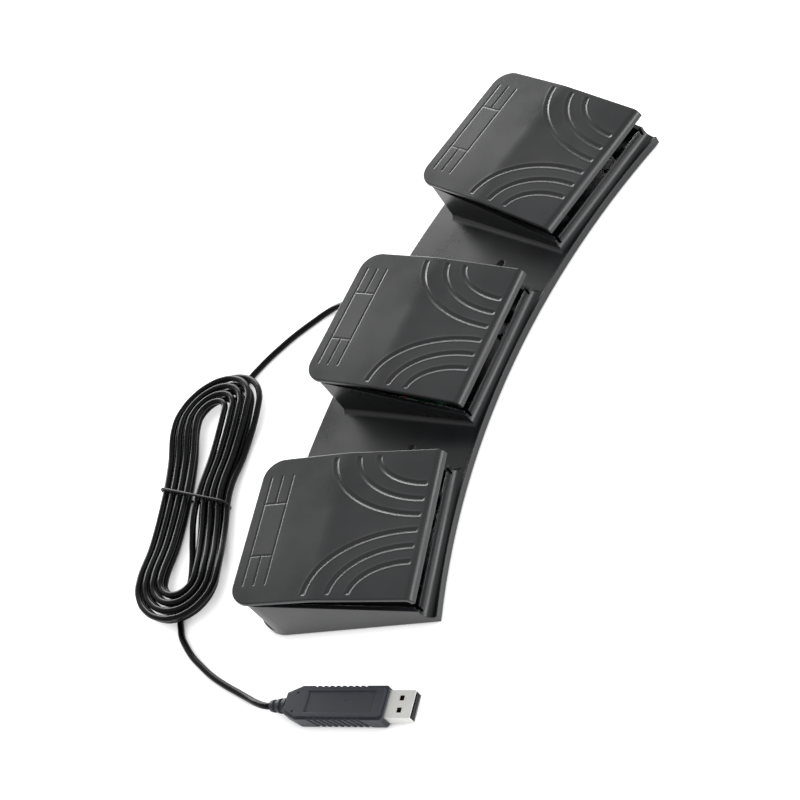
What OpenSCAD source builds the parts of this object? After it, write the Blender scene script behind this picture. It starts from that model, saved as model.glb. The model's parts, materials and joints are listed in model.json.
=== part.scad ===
// Foot switch with three hinged pedals side by side on one fan-shaped base.
// Plan places are given as u, across a pedal, and v, the distance from the centre of the fan.
// X runs along the row of pedals, +Y points to the toes, Z is up and the floor is at zero.
// Left and right are as the user sees them with the heels at -Y.

/* [Fan] */
// Angle between neighbouring pedals, in degrees
fan_step = 15; // [14.5:0.5:17]
// Radius of the concave heel edge of the base
heel_r = 361.7; // [354:0.1:366]
// Radius of the convex toe edge of the base
toe_r = 450.8; // [446:0.1:460]
// Plan radius of the two outer toe corners
corner_r = 15; // [13:0.5:20]

/* [Base] */
// Thickness of the rubber feet
foot_t = 0.8; // [0.6:0.1:2]
// Radius of the rubber feet
foot_r = 6; // [4:0.5:7]
// Thickness of the steel bottom plate
sheet_t = 1; // [0.8:0.1:1.2]
// Height of the wiring space between the bottom plate and the deck
duct_h = 1.1; // [1.05:0.05:2]
// Thickness of the deck, the flat top of the base
deck_t = 1.1; // [1:0.1:2]
// Thickness of the skirt round the base
skirt_t = 2; // [1.5:0.1:3]
// Width of the raised rim along the heel edge
rim_w = 0.9; // [0.6:0.1:1.5]
// Height of that rim above the deck
rim_h = 0.6; // [0.3:0.1:1]
// Angle of the two fixing holes from the middle of the fan, as a share of the step between pedals
fixing_share = 0.5; // [0.48:0.01:0.52]
// Radius of the circle that the fixing holes lie on
fixing_at_r = 395; // [385:1:410]
// Radius of the fixing holes
fixing_r = 2.1; // [1.6:0.1:2.6]

/* [Housings] */
// Outside width of a housing
house_w = 70.4; // [69:0.1:71]
// Wall thickness of the housings
wall_t = 2; // [1.6:0.1:2.4]
// Height of the heel wall above the floor
crest_h = 9.3; // [8:0.1:10.5]
// Thickness of the heel walls at their crest
crest_t = 0.7; // [0.6:0.1:1.2]
// Radius of the hollow outer face of the heel walls
hollow_r = 4.2; // [3:0.1:4.4]
// Height of the toe wall above the floor
toe_wall_h = 26.2; // [22:0.1:26.4]
// Depth of base in front of the toe walls
toe_strip = 10.5; // [9:0.1:14]
// Depth of base behind the heel walls
heel_strip = 2.9; // [2.7:0.1:5]
// Radius of the hollow where the side walls meet the deck
cove_r = 2.6; // [1.5:0.1:2.6]

/* [Pedals] */
// How far the plate reaches past the housing at each side
side_reach = 1; // [0.7:0.1:1.8]
// Thickness of the plate
plate_t = 1.8; // [1.6:0.1:2.2]
// How far the plate reaches past the toe wall
toe_reach = 6.6; // [5:0.1:8]
// How far the plate reaches past the heel wall
heel_reach = 1.9; // [1:0.1:4]
// Length of the flatter toe part of the plate
toe_flat = 40; // [34:0.5:44]
// Height of the plate's top at its bend
bend_h = 27.8; // [27:0.1:29]
// Upward slope of the toe part, in degrees
toe_slope = 3.2; // [2:0.1:4]
// Downward slope of the main part, in degrees
main_slope = 9; // [8:0.1:9.5]
// Radius that rolls the heel end down
roll_r = 4; // [3:0.1:6]
// Plan radius of the plate's toe corners
plate_corner_r = 9.5; // [6:0.5:12]
// How far a pedal turns when it is pressed, in degrees
press_angle = 3.5; // [2:0.1:3.5]

/* [Grooves] */
// Width of the curved grooves
arc_w = 1.6; // [1:0.1:2.2]
// Depth of the curved grooves
arc_d = 0.5; // [0.2:0.1:0.8]
// Spacing of the grooves' heel ends
arc_step = 7.55; // [7:0.05:8]
// Reach of the outermost curved groove from the heel end
arc_reach = 45; // [40:0.5:50]
// Width of the fine straight grooves at the toe
line_w = 0.6; // [0.4:0.1:0.8]
// Depth of those grooves
line_d = 0.35; // [0.2:0.05:0.6]

/* [Hinges and springs] */
// Distance of the hinge pin behind the toe wall's outside
hinge_back = 8.3; // [7:0.1:9]
// Height of the hinge pin above the floor
hinge_h = 19.5; // [18:0.1:20]
// Radius of the hinge pins
pin_r = 1.5; // [1.2:0.1:1.8]
// Running clearance round a pin
pin_fit = 0.05; // [0.03:0.01:0.08]
// Thickness of the ears and lugs that carry a pin
ear_t = 3.6; // [3:0.1:3.8]
// Mean radius of the return springs
coil_r = 4; // [3.5:0.1:4.4]
// Radius of the spring wire
wire_r = 0.45; // [0.35:0.05:0.5]
// Turns of a return spring
coil_turns = 5.5; // [4.5:1:6.5]
// Height of the springs' upper seat
coil_top_h = 19; // [18:0.1:19.3]

/* [Switches] */
// Width of a microswitch
switch_w = 6.4; // [6:0.1:6.8]
// Length of a microswitch
switch_l = 19.8; // [19.4:0.1:20.4]
// Height of a microswitch body
switch_h = 10; // [9.6:0.1:10.1]
// Thickness of the circuit boards
board_t = 1.2; // [1:0.1:1.3]
// Height of the posts that the boards stand on
standoff_h = 2; // [1.8:0.1:2.2]

/* [Cord and plug] */
// Diameter of the cord
cord_d = 3; // [2.6:0.1:3.2]
// Width of the plug's moulded body
plug_w = 15; // [14.2:0.1:17]
// Height of the plug's moulded body
plug_h = 8.4; // [7.4:0.1:9.4]
// Length of the plug's moulded body
plug_l = 49; // [44:0.5:54]
// Width of the metal shell, a standard size
shell_w = 12; // [12:0.1:12.1]
// Height of the metal shell, a standard size
shell_h = 4.5; // [4.4:0.1:4.6]
// Length of the shell outside the moulded body
shell_out = 12; // [11.8:0.1:12.5]

/* [Hidden] */

over = 1;
sides = [-1, 1];
fan_fn = 360;
round_fn = 48;
small_fn = 24;
cord_sides = 8;
coil_sides = 6;
cord_r = cord_d / 2;

// Heights of the base
skirt_z = foot_t;
sheet_top = skirt_z + sheet_t;
deck_h = sheet_top + duct_h + deck_t;

// Plan places of the housings, v from the fan's centre
heel_wall = heel_r + heel_strip;
toe_wall = toe_r - toe_strip;
house_half = house_w / 2;
house_corner_r = 2;
rim_slope = atan((toe_wall_h - crest_h) / (toe_wall - heel_wall));

// Places of the plate
plate_w = house_w + 2 * side_reach;
plate_half = plate_w / 2;
plate_toe = toe_wall + toe_reach;
plate_heel = heel_wall - heel_reach;
bend_v = plate_toe - toe_flat;
roll_v = plate_heel + roll_r;
roll_h = bend_h - (bend_v - roll_v) * tan(main_slope) - roll_r / cos(main_slope);
plate_toe_h = bend_h + toe_flat * tan(toe_slope);
hinge_v = toe_wall - hinge_back;
ear_r = 3;
ear_gap = 0.4;
lug_wall_gap = 1.6;
pin_past_lug = 0.6;
lug_in = house_half - wall_t - lug_wall_gap - ear_t;
pin_half = lug_in + ear_t + pin_past_lug;

// The middle of the base in Y, which becomes the origin
end_turn = fan_step + asin(house_half / heel_r);
y_mid = (toe_r + heel_r * cos(end_turn)) / 2;

// Height of the plate's underside over a place v on the main or the toe part
function under_h(v) = v < bend_v
    ? bend_h - (bend_v - v) * tan(main_slope) - plate_t / cos(main_slope)
    : bend_h + (v - bend_v) * tan(toe_slope) - plate_t / cos(toe_slope);

// Puts what is drawn in u, v and z at pedal k of the fan: -1 left, 0 middle, 1 right
module at_pedal(k) {
    translate([0, -y_mid, 0]) rotate([0, 0, -k * fan_step]) children();
}

// Place in the plan of a point u, v of pedal k
function plan(k, u, v) = [
    u * cos(k * fan_step) + v * sin(k * fan_step),
    v * cos(k * fan_step) - u * sin(k * fan_step)
];

// A side profile drawn in v and z, drawn out along u by a width
module along_u(width) {
    rotate([90, 0, 90]) translate([0, 0, -width / 2]) linear_extrude(width) children();
}

// Box from low corner to high corner
module block(low, high) {
    translate(low) cube(high - low);
}

// Tube along a list of points, as one solid of flat triangles.
// Each ring stands square to the line between its neighbours, and ref is never along the tube.
function unit(a) = a / norm(a);
function heading(path, i) = unit(path[min(i + 1, len(path) - 1)] - path[max(i - 1, 0)]);
function ring(path, i, r, n, ref) =
    let (
        t = heading(path, i),
        s = unit(cross(t, ref)),
        w = cross(s, t)
    )
    [for (j = [0 : n - 1]) path[i] + r * (cos(360 * j / n) * s + sin(360 * j / n) * w)];
module tube(path, r, n = cord_sides, ref = [0, 0, 1]) {
    rings = len(path);
    points = [for (i = [0 : rings - 1]) each ring(path, i, r, n, ref)];
    walls = [for (i = [0 : rings - 2], j = [0 : n - 1])
        let (a = i * n + j, b = i * n + (j + 1) % n)
        each [[a, b, b + n], [a, b + n, a + n]]];
    last = (rings - 1) * n;
    caps = [for (j = [1 : n - 2]) each [[0, j + 1, j], [last, last + j, last + j + 1]]];
    polyhedron(points, concat(walls, caps));
}
function path_length(path) = len(path) < 2 ? 0 : sum_steps(path, 1);
function sum_steps(path, i) = i == len(path) ? 0 : norm(path[i] - path[i - 1]) + sum_steps(path, i + 1);

// Base shell: deck, skirt and three open housings in one moulding

// Plan of the base, drawn in by inset all round
module fan_plan(inset = 0) {
    half = house_half - inset;
    outer = toe_r - inset;
    corner = corner_r - inset;
    near_share = 0.8;
    far_share = 1.2;
    corner_u = half - corner;
    corner_v = sqrt(pow(outer - corner, 2) - pow(corner_u, 2));
    difference() {
        intersection() {
            difference() {
                circle(outer, $fn = fan_fn);
                circle(heel_r + inset, $fn = fan_fn);
            }
            polygon([
                plan(-1, -half, near_share * heel_r), plan(-1, -half, far_share * toe_r),
                plan(1, half, far_share * toe_r), plan(1, half, near_share * heel_r)
            ]);
        }
        for (k = sides) rotate(-k * fan_step) scale([k, 1]) difference() {
            polygon([
                [corner_u, corner_v], [half + over, corner_v], [half + over, far_share * toe_r],
                far_share * [corner_u, corner_v]
            ]);
            translate([corner_u, corner_v]) circle(corner, $fn = round_fn);
        }
    }
}

// Plan of one housing, drawn in by inset
module house_plan(inset = 0) {
    r = house_corner_r;
    for (s = sides)
        for (v = [heel_wall + r, toe_wall - r])
            translate([s * (house_half - r), v]) circle(r - min(inset, r / 2), $fn = small_fn);
    translate([-house_half + inset, heel_wall + r])
        square([house_w - 2 * inset, toe_wall - heel_wall - 2 * r]);
    translate([-house_half + r, heel_wall + inset])
        square([house_w - 2 * r, toe_wall - heel_wall - 2 * inset]);
}

// Outer body of one housing, its top sloping from the toe wall down to the heel wall
module house_body() {
    intersection() {
        translate([0, 0, deck_h - deck_t]) linear_extrude(toe_wall_h) {
            house_plan();
            translate([-house_half, heel_r]) square([house_w, heel_strip + house_corner_r]);
        }
        along_u(house_w + over) polygon([
            [heel_r - over, 0], [toe_wall + over, 0],
            [toe_wall + over, toe_wall_h + over * tan(rim_slope)],
            [heel_r - over, crest_h - (heel_strip + over) * tan(rim_slope)]
        ]);
    }
}

// What is cut from the outside of a heel wall, so that it falls in a hollow from its crest to the deck
module heel_hollow() {
    along_u(2 * house_w) translate([heel_wall + wall_t - crest_t - hollow_r, deck_h + hollow_r]) {
        circle(hollow_r, $fn = round_fn);
        square([hollow_r, crest_h]);
    }
}

// Hollow corner strip between a wall and the deck, for a wall along u or along v
module cove(length) {
    rotate([90, 0, 90]) translate([0, 0, -length / 2]) linear_extrude(length) difference() {
        translate([-cove_r, -cove_r / 2]) square([cove_r + wall_t / 2, 1.5 * cove_r]);
        translate([-cove_r, cove_r]) circle(cove_r, $fn = round_fn);
    }
}

module house_coves() {
    cove_l = toe_wall - house_corner_r - heel_r;
    for (s = sides) translate([s * house_half, heel_r + cove_l / 2, deck_h]) rotate([0, 0, s * 90])
        cove(cove_l);
}

// Places u, v in each housing, from its sides, its heel wall and the hinge
pad_r = 3.2;
pad_h = 2.5;
pad_gap = 0.12;
pad_from_side = 13.2;
pad_from_heel = 8.9;
pad_u = house_half - pad_from_side;
pad_at = [for (s = sides) [s * pad_u, heel_wall + pad_from_heel]];
pad_edge = pad_at[0].y - pad_r;
pad_top = under_h(pad_edge) - (hinge_v - pad_edge) * sin(press_angle) - pad_gap;
rib_half = 8;
boss_r = 3.2;
boss_h = 4.2;
boss_from_side = 6.2;
boss_back = 13.5;
heel_boss_u = 12;
heel_boss_from_heel = 6.4;
boss_u = house_half - boss_from_side;
boss_v = hinge_v - boss_back;
boss_at = [[-boss_u, boss_v], [boss_u, boss_v], [heel_boss_u, heel_wall + heel_boss_from_heel]];
screw_r = 1.4;
head_r = 2.5;
screw_fit = 0.02;
screw_l = 6;
screw_end_gap = 0.5;
coil_back = 50;
coil_v = hinge_v - coil_back;
coil_fit = 0.35;
spigot_r = coil_r - wire_r - coil_fit;
spigot_h = 2.5;
board_far = 40;
board_near = 14;
board_from = hinge_v - board_far;
board_to = hinge_v - board_near;
board_mid_v = (board_from + board_to) / 2;
board_half = 9;
board_z = deck_h + standoff_h;
post_in = 2.6;
post_r = 2.2;
post_at = [for (s = sides, v = [board_from + post_in, board_to - post_in])
    [s * (board_half - post_in), v]];
function board_screw_at(k) = [for (i = k < 0 ? [2, 1] : [0, 3]) post_at[i]];
board_screw_r = 0.8;
board_screw_l = 3;
board_hole_r = board_screw_r + screw_fit;
ctrl_wall_gap = 3.7;
ctrl_board_gap = 3.5;
ctrl_far = 48;
ctrl_near = 18;
ctrl_low = [-house_half + wall_t + ctrl_wall_gap, hinge_v - ctrl_far];
ctrl_high = [-board_half - ctrl_board_gap, hinge_v - ctrl_near];
ctrl_post_at = [
    [ctrl_low.x + post_in, ctrl_low.y + post_in], [ctrl_high.x - post_in, ctrl_low.y + post_in],
    [ctrl_low.x + post_in, ctrl_high.y - post_in], [ctrl_high.x - post_in, ctrl_high.y - post_in]
];
ctrl_screw_at = [ctrl_post_at[0], ctrl_post_at[3]];
exit_from_side = 11.2;
exit_u = house_half - exit_from_side;
exit_h = 8.5;
exit_r = 3.1;
clamp_back = 7;
clamp_v = hinge_v - clamp_back;
clamp_half = 2.5;
clamp_boss_off = 4.4;
clamp_boss_at = [exit_u - clamp_boss_off, exit_u + clamp_boss_off];
clamp_boss_r = 2;
clamp_gap = 0.1;
wire_y = board_mid_v - y_mid;
duct_hole = [1.6, 2];
far_hole_in = 1.18;
far_hole_x = board_mid_v * sin(fan_step) - board_half + far_hole_in;
ctrl_hole_out = 1.9;
mid_hole_out = 1;
duct_hole_x = [-far_hole_x, ctrl_low.x - ctrl_hole_out, -board_half - mid_hole_out, far_hole_x];
tube_wall = 1.6;

module round_bore(at, r, low, high, fn = small_fn) {
    translate([at.x, at.y, low]) cylinder(r = r, h = high - low, $fn = fn);
}

// What stands up inside every housing
module house_fittings() {
    for (s = sides) along_lug(s) lug_side();
    for (at = pad_at) round_bore(at, pad_r, deck_h - deck_t / 2, pad_top - pad_h, round_fn);
    for (at = boss_at) round_bore(at, boss_r, sheet_top, deck_h + boss_h, round_fn);
    round_bore([0, coil_v], spigot_r, deck_h - deck_t / 2, deck_h + spigot_h, round_fn);
    for (at = post_at) round_bore(at, post_r, deck_h - deck_t / 2, board_z, round_fn);
    rib_top = under_h(toe_wall - 2 * wall_t) - pad_gap;
    block([-rib_half, toe_wall - 2 * wall_t, deck_h], [rib_half, toe_wall - wall_t / 2, rib_top]);
}

// Profile of a lug or ear in v and z: a round end about the pin
module lug_side() {
    translate([hinge_v, hinge_h]) circle(ear_r, $fn = round_fn);
    translate([hinge_v - ear_r, deck_h - deck_t / 2]) square([2 * ear_r, hinge_h - deck_h + deck_t / 2]);
}
module along_lug(s) {
    translate([s * (lug_in + ear_t / 2), 0, 0]) along_u(ear_t) children();
}

// The middle housing also holds the controller and the cord
module middle_fittings() {
    for (at = ctrl_post_at) round_bore(at, post_r, deck_h - deck_t / 2, board_z, round_fn);
    for (u = clamp_boss_at)
        round_bore([u, clamp_v], clamp_boss_r, deck_h - deck_t / 2, exit_h + clamp_gap, round_fn);
    block(
        [exit_u - cord_d / 2, clamp_v - clamp_half, deck_h - deck_t / 2],
        [exit_u + cord_d / 2, clamp_v + clamp_half, exit_h - cord_d / 2]
    );
}

// Bores and openings of every housing
module house_cuts(k) {
    for (at = boss_at)
        round_bore(at, screw_r + screw_fit, skirt_z, skirt_z + screw_l + screw_end_gap);
    for (at = board_screw_at(k))
        round_bore(at, board_hole_r, board_z - board_screw_l + board_t / 2, board_z + over);
    translate([0, hinge_v, hinge_h]) rotate([0, 90, 0])
        cylinder(r = pin_r + screw_fit, h = 2 * (pin_half + over), center = true, $fn = small_fn);
}

module middle_cuts() {
    for (at = ctrl_screw_at)
        round_bore(at, board_hole_r, board_z - board_screw_l + board_t / 2, board_z + over);
    for (u = clamp_boss_at) round_bore([u, clamp_v], board_hole_r, deck_h, exit_h + over);
    translate([exit_u, toe_wall - 2 * wall_t + over / 2, exit_h]) rotate([-90, 0, 0])
        cylinder(r = exit_r, h = 3 * wall_t, $fn = round_fn);
}

module base_shell() {
    color("#2b2c2f") difference() {
        union() {
            difference() {
                union() {
                    translate([0, -y_mid, skirt_z]) linear_extrude(deck_h - skirt_z) fan_plan();
                    translate([0, -y_mid, deck_h - deck_t]) linear_extrude(deck_t + rim_h) rim_plan();
                    intersection() {
                        for (k = [-1, 0, 1]) at_pedal(k) difference() {
                            union() {
                                house_body();
                                house_coves();
                            }
                            heel_hollow();
                        }
                        translate([0, -y_mid, 0]) linear_extrude(2 * toe_wall_h) fan_plan();
                    }
                }
                translate([0, -y_mid, skirt_z - over])
                    linear_extrude(deck_h - deck_t - skirt_z + over) fan_plan(skirt_t);
                for (k = [-1, 0, 1]) at_pedal(k)
                    translate([0, 0, deck_h]) linear_extrude(toe_wall_h) house_plan(wall_t);
            }
            for (k = [-1, 0, 1]) at_pedal(k) house_fittings();
            at_pedal(0) middle_fittings();
            for (k = sides) fixing_at(k)
                cylinder(r = fixing_r + tube_wall, h = deck_h - skirt_z, $fn = round_fn);
        }
        for (k = [-1, 0, 1]) at_pedal(k) house_cuts(k);
        at_pedal(0) middle_cuts();
        for (k = sides) fixing_at(k) translate([0, 0, -over])
            cylinder(r = fixing_r, h = deck_h + 2 * over, $fn = round_fn);
        for (x = duct_hole_x)
            block(
                [x - duct_hole.x, wire_y - duct_hole.y, sheet_top],
                [x + duct_hole.x, wire_y + duct_hole.y, deck_h + over]
            );
    }
}

// Plan of the raised rim along the heel edge
module rim_plan() {
    intersection() {
        fan_plan();
        difference() {
            circle(heel_r + rim_w, $fn = fan_fn);
            circle(heel_r - over, $fn = fan_fn);
        }
    }
}

// Puts what is drawn about an upright axis at fixing hole k, -1 left or 1 right
module fixing_at(k) {
    translate([0, -y_mid, skirt_z]) rotate([0, 0, -k * fixing_share * fan_step])
        translate([0, fixing_at_r, 0]) children();
}

// Steel plate that closes the base from below, let in inside the skirt
plate_fit = 0.3;
module bottom_plate() {
    color("#8d9094") difference() {
        translate([0, -y_mid, skirt_z]) linear_extrude(sheet_t) fan_plan(skirt_t + plate_fit);
        for (k = [-1, 0, 1]) at_pedal(k) for (at = boss_at) translate([at.x, at.y, skirt_z])
            cylinder(r1 = head_r + plate_fit, r2 = screw_r + plate_fit, h = sheet_t, $fn = small_fn);
        for (k = sides) fixing_at(k) translate([0, 0, -over])
            cylinder(r = fixing_r + tube_wall + plate_fit, h = sheet_t + 2 * over, $fn = round_fn);
    }
}

// Countersunk screws, three in each housing
module bottom_screws() {
    color("#9a9da1") for (k = [-1, 0, 1]) at_pedal(k) for (at = boss_at)
        translate([at.x, at.y, skirt_z]) {
            cylinder(r1 = head_r, r2 = screw_r, h = sheet_t, $fn = small_fn);
            cylinder(r = screw_r, h = screw_l, $fn = small_fn);
        }
}

// Feet, by their pedal of the fan and their place across it
foot_u = 20;
foot_from_heel = 13.4;
foot_back = 1;
foot_at = [[-1, -foot_u], [0, -foot_u], [0, foot_u], [1, foot_u]];
foot_v = [heel_wall + foot_from_heel, hinge_v - foot_back];
module rubber_feet() {
    color("#1b1b1c") for (f = foot_at) at_pedal(f[0]) for (v = foot_v) translate([f[1], v, 0])
        cylinder(r = foot_r, h = foot_t, $fn = round_fn);
}

// Rubber pads on posts, which end a pedal's travel
module stop_pads() {
    color("#151516") for (k = [-1, 0, 1]) at_pedal(k) for (at = pad_at)
        round_bore(at, pad_r, pad_top - pad_h, pad_top, round_fn);
}

// Pedal plate

// Plan of the plate with rounded toe corners, drawn in by inset
module plate_plan(inset = 0) {
    r = plate_corner_r;
    for (s = sides) translate([s * (plate_half - r), plate_toe - r]) circle(r - inset, $fn = round_fn);
    translate([-plate_half + inset, plate_heel + inset])
        square([plate_w - 2 * inset, plate_toe - plate_heel - r - inset]);
    translate([-plate_half + r, plate_toe - 2 * r]) square([plate_w - 2 * r, 2 * r - inset]);
}

// Side profile under the plate's top, lowered by depth, down to a line of low points
module plate_side(depth, low) {
    r = roll_r - depth;
    intersection() {
        union() {
            translate([roll_v, roll_h]) circle(r, $fn = round_fn);
            polygon([
                [roll_v, roll_h - roll_r],
                [roll_v, roll_h],
                [roll_v - r * sin(main_slope), roll_h + r * cos(main_slope)],
                [bend_v, bend_h - depth / cos(main_slope)],
                [plate_toe + over, plate_toe_h - depth / cos(toe_slope) + over * tan(toe_slope)],
                [plate_toe + over, roll_h - roll_r]
            ]);
        }
        polygon(concat(low, [[plate_toe + over, 2 * bend_h], [plate_heel - over, 2 * bend_h]]));
    }
}
lip_low = [[plate_heel - over, roll_h], [plate_toe + over, roll_h]];
open_low = [for (p = lip_low) [p.x, p.y - 2 * roll_r]];

// One curved groove, a quarter of an oval about the plate's heel corner
arc_points = 14;
arc_turn = 87;
arc_from_side = 1.2;
arc_from_heel = 3.3;
arc_centre_u = plate_half - arc_from_side;
arc_centre_v = plate_heel + arc_from_heel;
arc_reach_shares = [1, 34 / 45, 25 / 45];
function arc_half(i) = arc_centre_u - arc_step * (i + 0.5);
function arc_edge(i, off) = [for (j = [0 : arc_points])
    let (a = arc_turn * j / arc_points)
    [
        arc_centre_u - (arc_half(i) + off) * cos(a),
        arc_centre_v + (arc_reach * arc_reach_shares[i] + off) * sin(a)
    ]];
module arc_groove(i) {
    outer = arc_edge(i, arc_w / 2);
    inner = arc_edge(i, -arc_w / 2);
    polygon(concat(
        [[outer[0].x, plate_heel - over]], outer,
        [for (j = [arc_points : -1 : 0]) inner[j]], [[inner[0].x, plate_heel - over]]
    ));
}

// Fine grooves at the toe: three lines, with a plain panel framed in the middle
line_from_side = 8.7;
line_half = plate_half - line_from_side;
panel_half = 13;
line_from_toe = 15.9;
line_from = plate_toe - line_from_toe;
line_step = 5.5;
module toe_lines() {
    for (i = [0, 2]) translate([-line_half, line_from + i * line_step - line_w / 2])
        square([2 * line_half, line_w]);
    for (s = sides) {
        translate([s < 0 ? -line_half : panel_half, line_from + line_step - line_w / 2])
            square([line_half - panel_half, line_w]);
        translate([s * panel_half - line_w / 2, line_from]) square([line_w, 2 * line_step]);
    }
}

module plate_skin() {
    difference() {
        intersection() {
            linear_extrude(2 * bend_h) plate_plan();
            along_u(plate_w + over) plate_side(0, lip_low);
        }
        along_u(plate_w + 2 * over) plate_side(plate_t, open_low);
        difference() {
            linear_extrude(2 * bend_h) for (s = sides) scale([s, 1]) for (i = [0 : 2]) arc_groove(i);
            along_u(plate_w + 4 * over) plate_side(arc_d, open_low);
        }
        difference() {
            linear_extrude(2 * bend_h) toe_lines();
            along_u(plate_w + 4 * over) plate_side(line_d, open_low);
        }
    }
}

// Places of the microswitch and of the nose on the plate that works its lever
case_z = board_z + board_t;
case_top = case_z + switch_h;
case_mid_v = board_mid_v;
lever_from_hinge = 20;
lever_v = hinge_v - lever_from_hinge;
lever_rise = 0.8;
lever_h = case_top + lever_rise;
lever_tilt = 8.2;
lever_l = 18.4;
lever_w = 3.6;
lever_t = 0.3;
lever_back = 1;
pivot_r = 0.5;
cheek_r = 1.1;
cheek_t = 1.1;
plunger_from_lever = 3;
plunger_v = lever_v - plunger_from_lever;
plunger_r = 0.8;
plunger_l = 3.6;
nose_from_hinge = 36;
nose_v = hinge_v - nose_from_hinge;
nose_half = 2.5;
nose_r = 1.2;
nose_gap = 0.12;
lever_arm = lever_v - nose_v;
lever_tip_h = lever_h + lever_arm * tan(lever_tilt) + lever_t / (2 * cos(lever_tilt));
nose_h = lever_tip_h + nose_gap + nose_r;
plunger_gap = 0.05;
plunger_top = lever_h + (lever_v - plunger_v - plunger_r) * tan(lever_tilt)
    - lever_t / (2 * cos(lever_tilt)) - plunger_gap;
switch_hole_r = 1.2;
switch_hole_half = 4.75;
switch_hole_h = 2.9;

// Ears, switch nose and spring seat under the plate
ear_out = lug_in - ear_gap;
seat_r = 6;
module plate_fittings() {
    for (s = sides) translate([s * (ear_out - ear_t / 2), 0, 0]) along_u(ear_t) {
        translate([hinge_v, hinge_h]) circle(ear_r, $fn = round_fn);
        translate([hinge_v - ear_r, hinge_h])
            square([2 * ear_r, under_h(hinge_v) + plate_t / 2 - hinge_h]);
    }
    along_u(2 * nose_half) {
        translate([nose_v, nose_h]) circle(nose_r, $fn = round_fn);
        translate([nose_v - nose_r, nose_h])
            square([2 * nose_r, under_h(nose_v) + plate_t / 2 - nose_h]);
    }
    intersection() {
        union() {
            round_bore([0, coil_v], seat_r, coil_top_h, bend_h, round_fn);
            round_bore([0, coil_v], spigot_r, coil_top_h - spigot_h, bend_h, round_fn);
        }
        along_u(plate_w) plate_side(plate_t / 2, open_low);
    }
}

module pedal() {
    difference() {
        union() {
            plate_skin();
            plate_fittings();
        }
        translate([0, hinge_v, hinge_h]) rotate([0, 90, 0])
            cylinder(r = pin_r + pin_fit, h = 2 * (ear_out + over), center = true, $fn = small_fn);
    }
}
module left_pedal() { color("#3c3e42") at_pedal(-1) pedal(); }
module middle_pedal() { color("#3c3e42") at_pedal(0) pedal(); }
module right_pedal() { color("#3c3e42") at_pedal(1) pedal(); }

// Hinge pins
module hinge_pin() {
    translate([0, hinge_v, hinge_h]) rotate([0, 90, 0])
        cylinder(r = pin_r, h = 2 * pin_half, center = true, $fn = small_fn);
}
module left_hinge_pin() { color("#b4b7bb") at_pedal(-1) hinge_pin(); }
module middle_hinge_pin() { color("#b4b7bb") at_pedal(0) hinge_pin(); }
module right_hinge_pin() { color("#b4b7bb") at_pedal(1) hinge_pin(); }

// Return springs
coil_gap = 0.08;
coil_steps = 10;
module spring() {
    low = deck_h + wire_r;
    high = coil_top_h - coil_gap - wire_r;
    steps = coil_turns * coil_steps;
    tube([for (i = [0 : steps])
        [
            coil_r * cos(360 * i / coil_steps),
            coil_v + coil_r * sin(360 * i / coil_steps),
            low + (high - low) * i / steps
        ]], wire_r, coil_sides);
}
module left_spring() { color("#c2c4c7") at_pedal(-1) spring(); }
module middle_spring() { color("#c2c4c7") at_pedal(0) spring(); }
module right_spring() { color("#c2c4c7") at_pedal(1) spring(); }

// Microswitch: case, lever and plunger

module switch_case() {
    difference() {
        union() {
            block(
                [-switch_w / 2, case_mid_v - switch_l / 2, case_z],
                [switch_w / 2, case_mid_v + switch_l / 2, case_top]
            );
            for (s = sides) translate([s * (switch_w - cheek_t) / 2, 0, 0]) along_u(cheek_t) {
                translate([lever_v, lever_h]) circle(cheek_r, $fn = small_fn);
                translate([lever_v - cheek_r, case_top - over]) square([2 * cheek_r, lever_rise + over]);
            }
        }
        for (s = sides) translate([0, case_mid_v + s * switch_hole_half, case_z + switch_hole_h])
            rotate([0, 90, 0])
                cylinder(r = switch_hole_r, h = switch_w + 2 * over, center = true, $fn = small_fn);
        translate([0, lever_v, lever_h]) rotate([0, 90, 0])
            cylinder(r = pivot_r + pin_fit, h = switch_w + 2 * over, center = true, $fn = small_fn);
        round_bore([0, plunger_v], plunger_r + pin_fit, case_top - plunger_l, case_top + over);
    }
}
module left_switch_case() { color("#1f2023") at_pedal(-1) switch_case(); }
module middle_switch_case() { color("#1f2023") at_pedal(0) switch_case(); }
module right_switch_case() { color("#1f2023") at_pedal(1) switch_case(); }

module switch_lever() {
    translate([0, lever_v, lever_h]) {
        rotate([-lever_tilt, 0, 0])
            block([-lever_w / 2, -lever_l, -lever_t / 2], [lever_w / 2, lever_back, lever_t / 2]);
        rotate([0, 90, 0]) cylinder(r = pivot_r, h = switch_w, center = true, $fn = small_fn);
    }
}
module left_switch_lever() { color("#c9cbce") at_pedal(-1) switch_lever(); }
module middle_switch_lever() { color("#c9cbce") at_pedal(0) switch_lever(); }
module right_switch_lever() { color("#c9cbce") at_pedal(1) switch_lever(); }

module switch_plunger() {
    round_bore([0, plunger_v], plunger_r, plunger_top - plunger_l, plunger_top);
}
module left_switch_plunger() { color("#b33a2e") at_pedal(-1) switch_plunger(); }
module middle_switch_plunger() { color("#b33a2e") at_pedal(0) switch_plunger(); }
module right_switch_plunger() { color("#b33a2e") at_pedal(1) switch_plunger(); }

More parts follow.
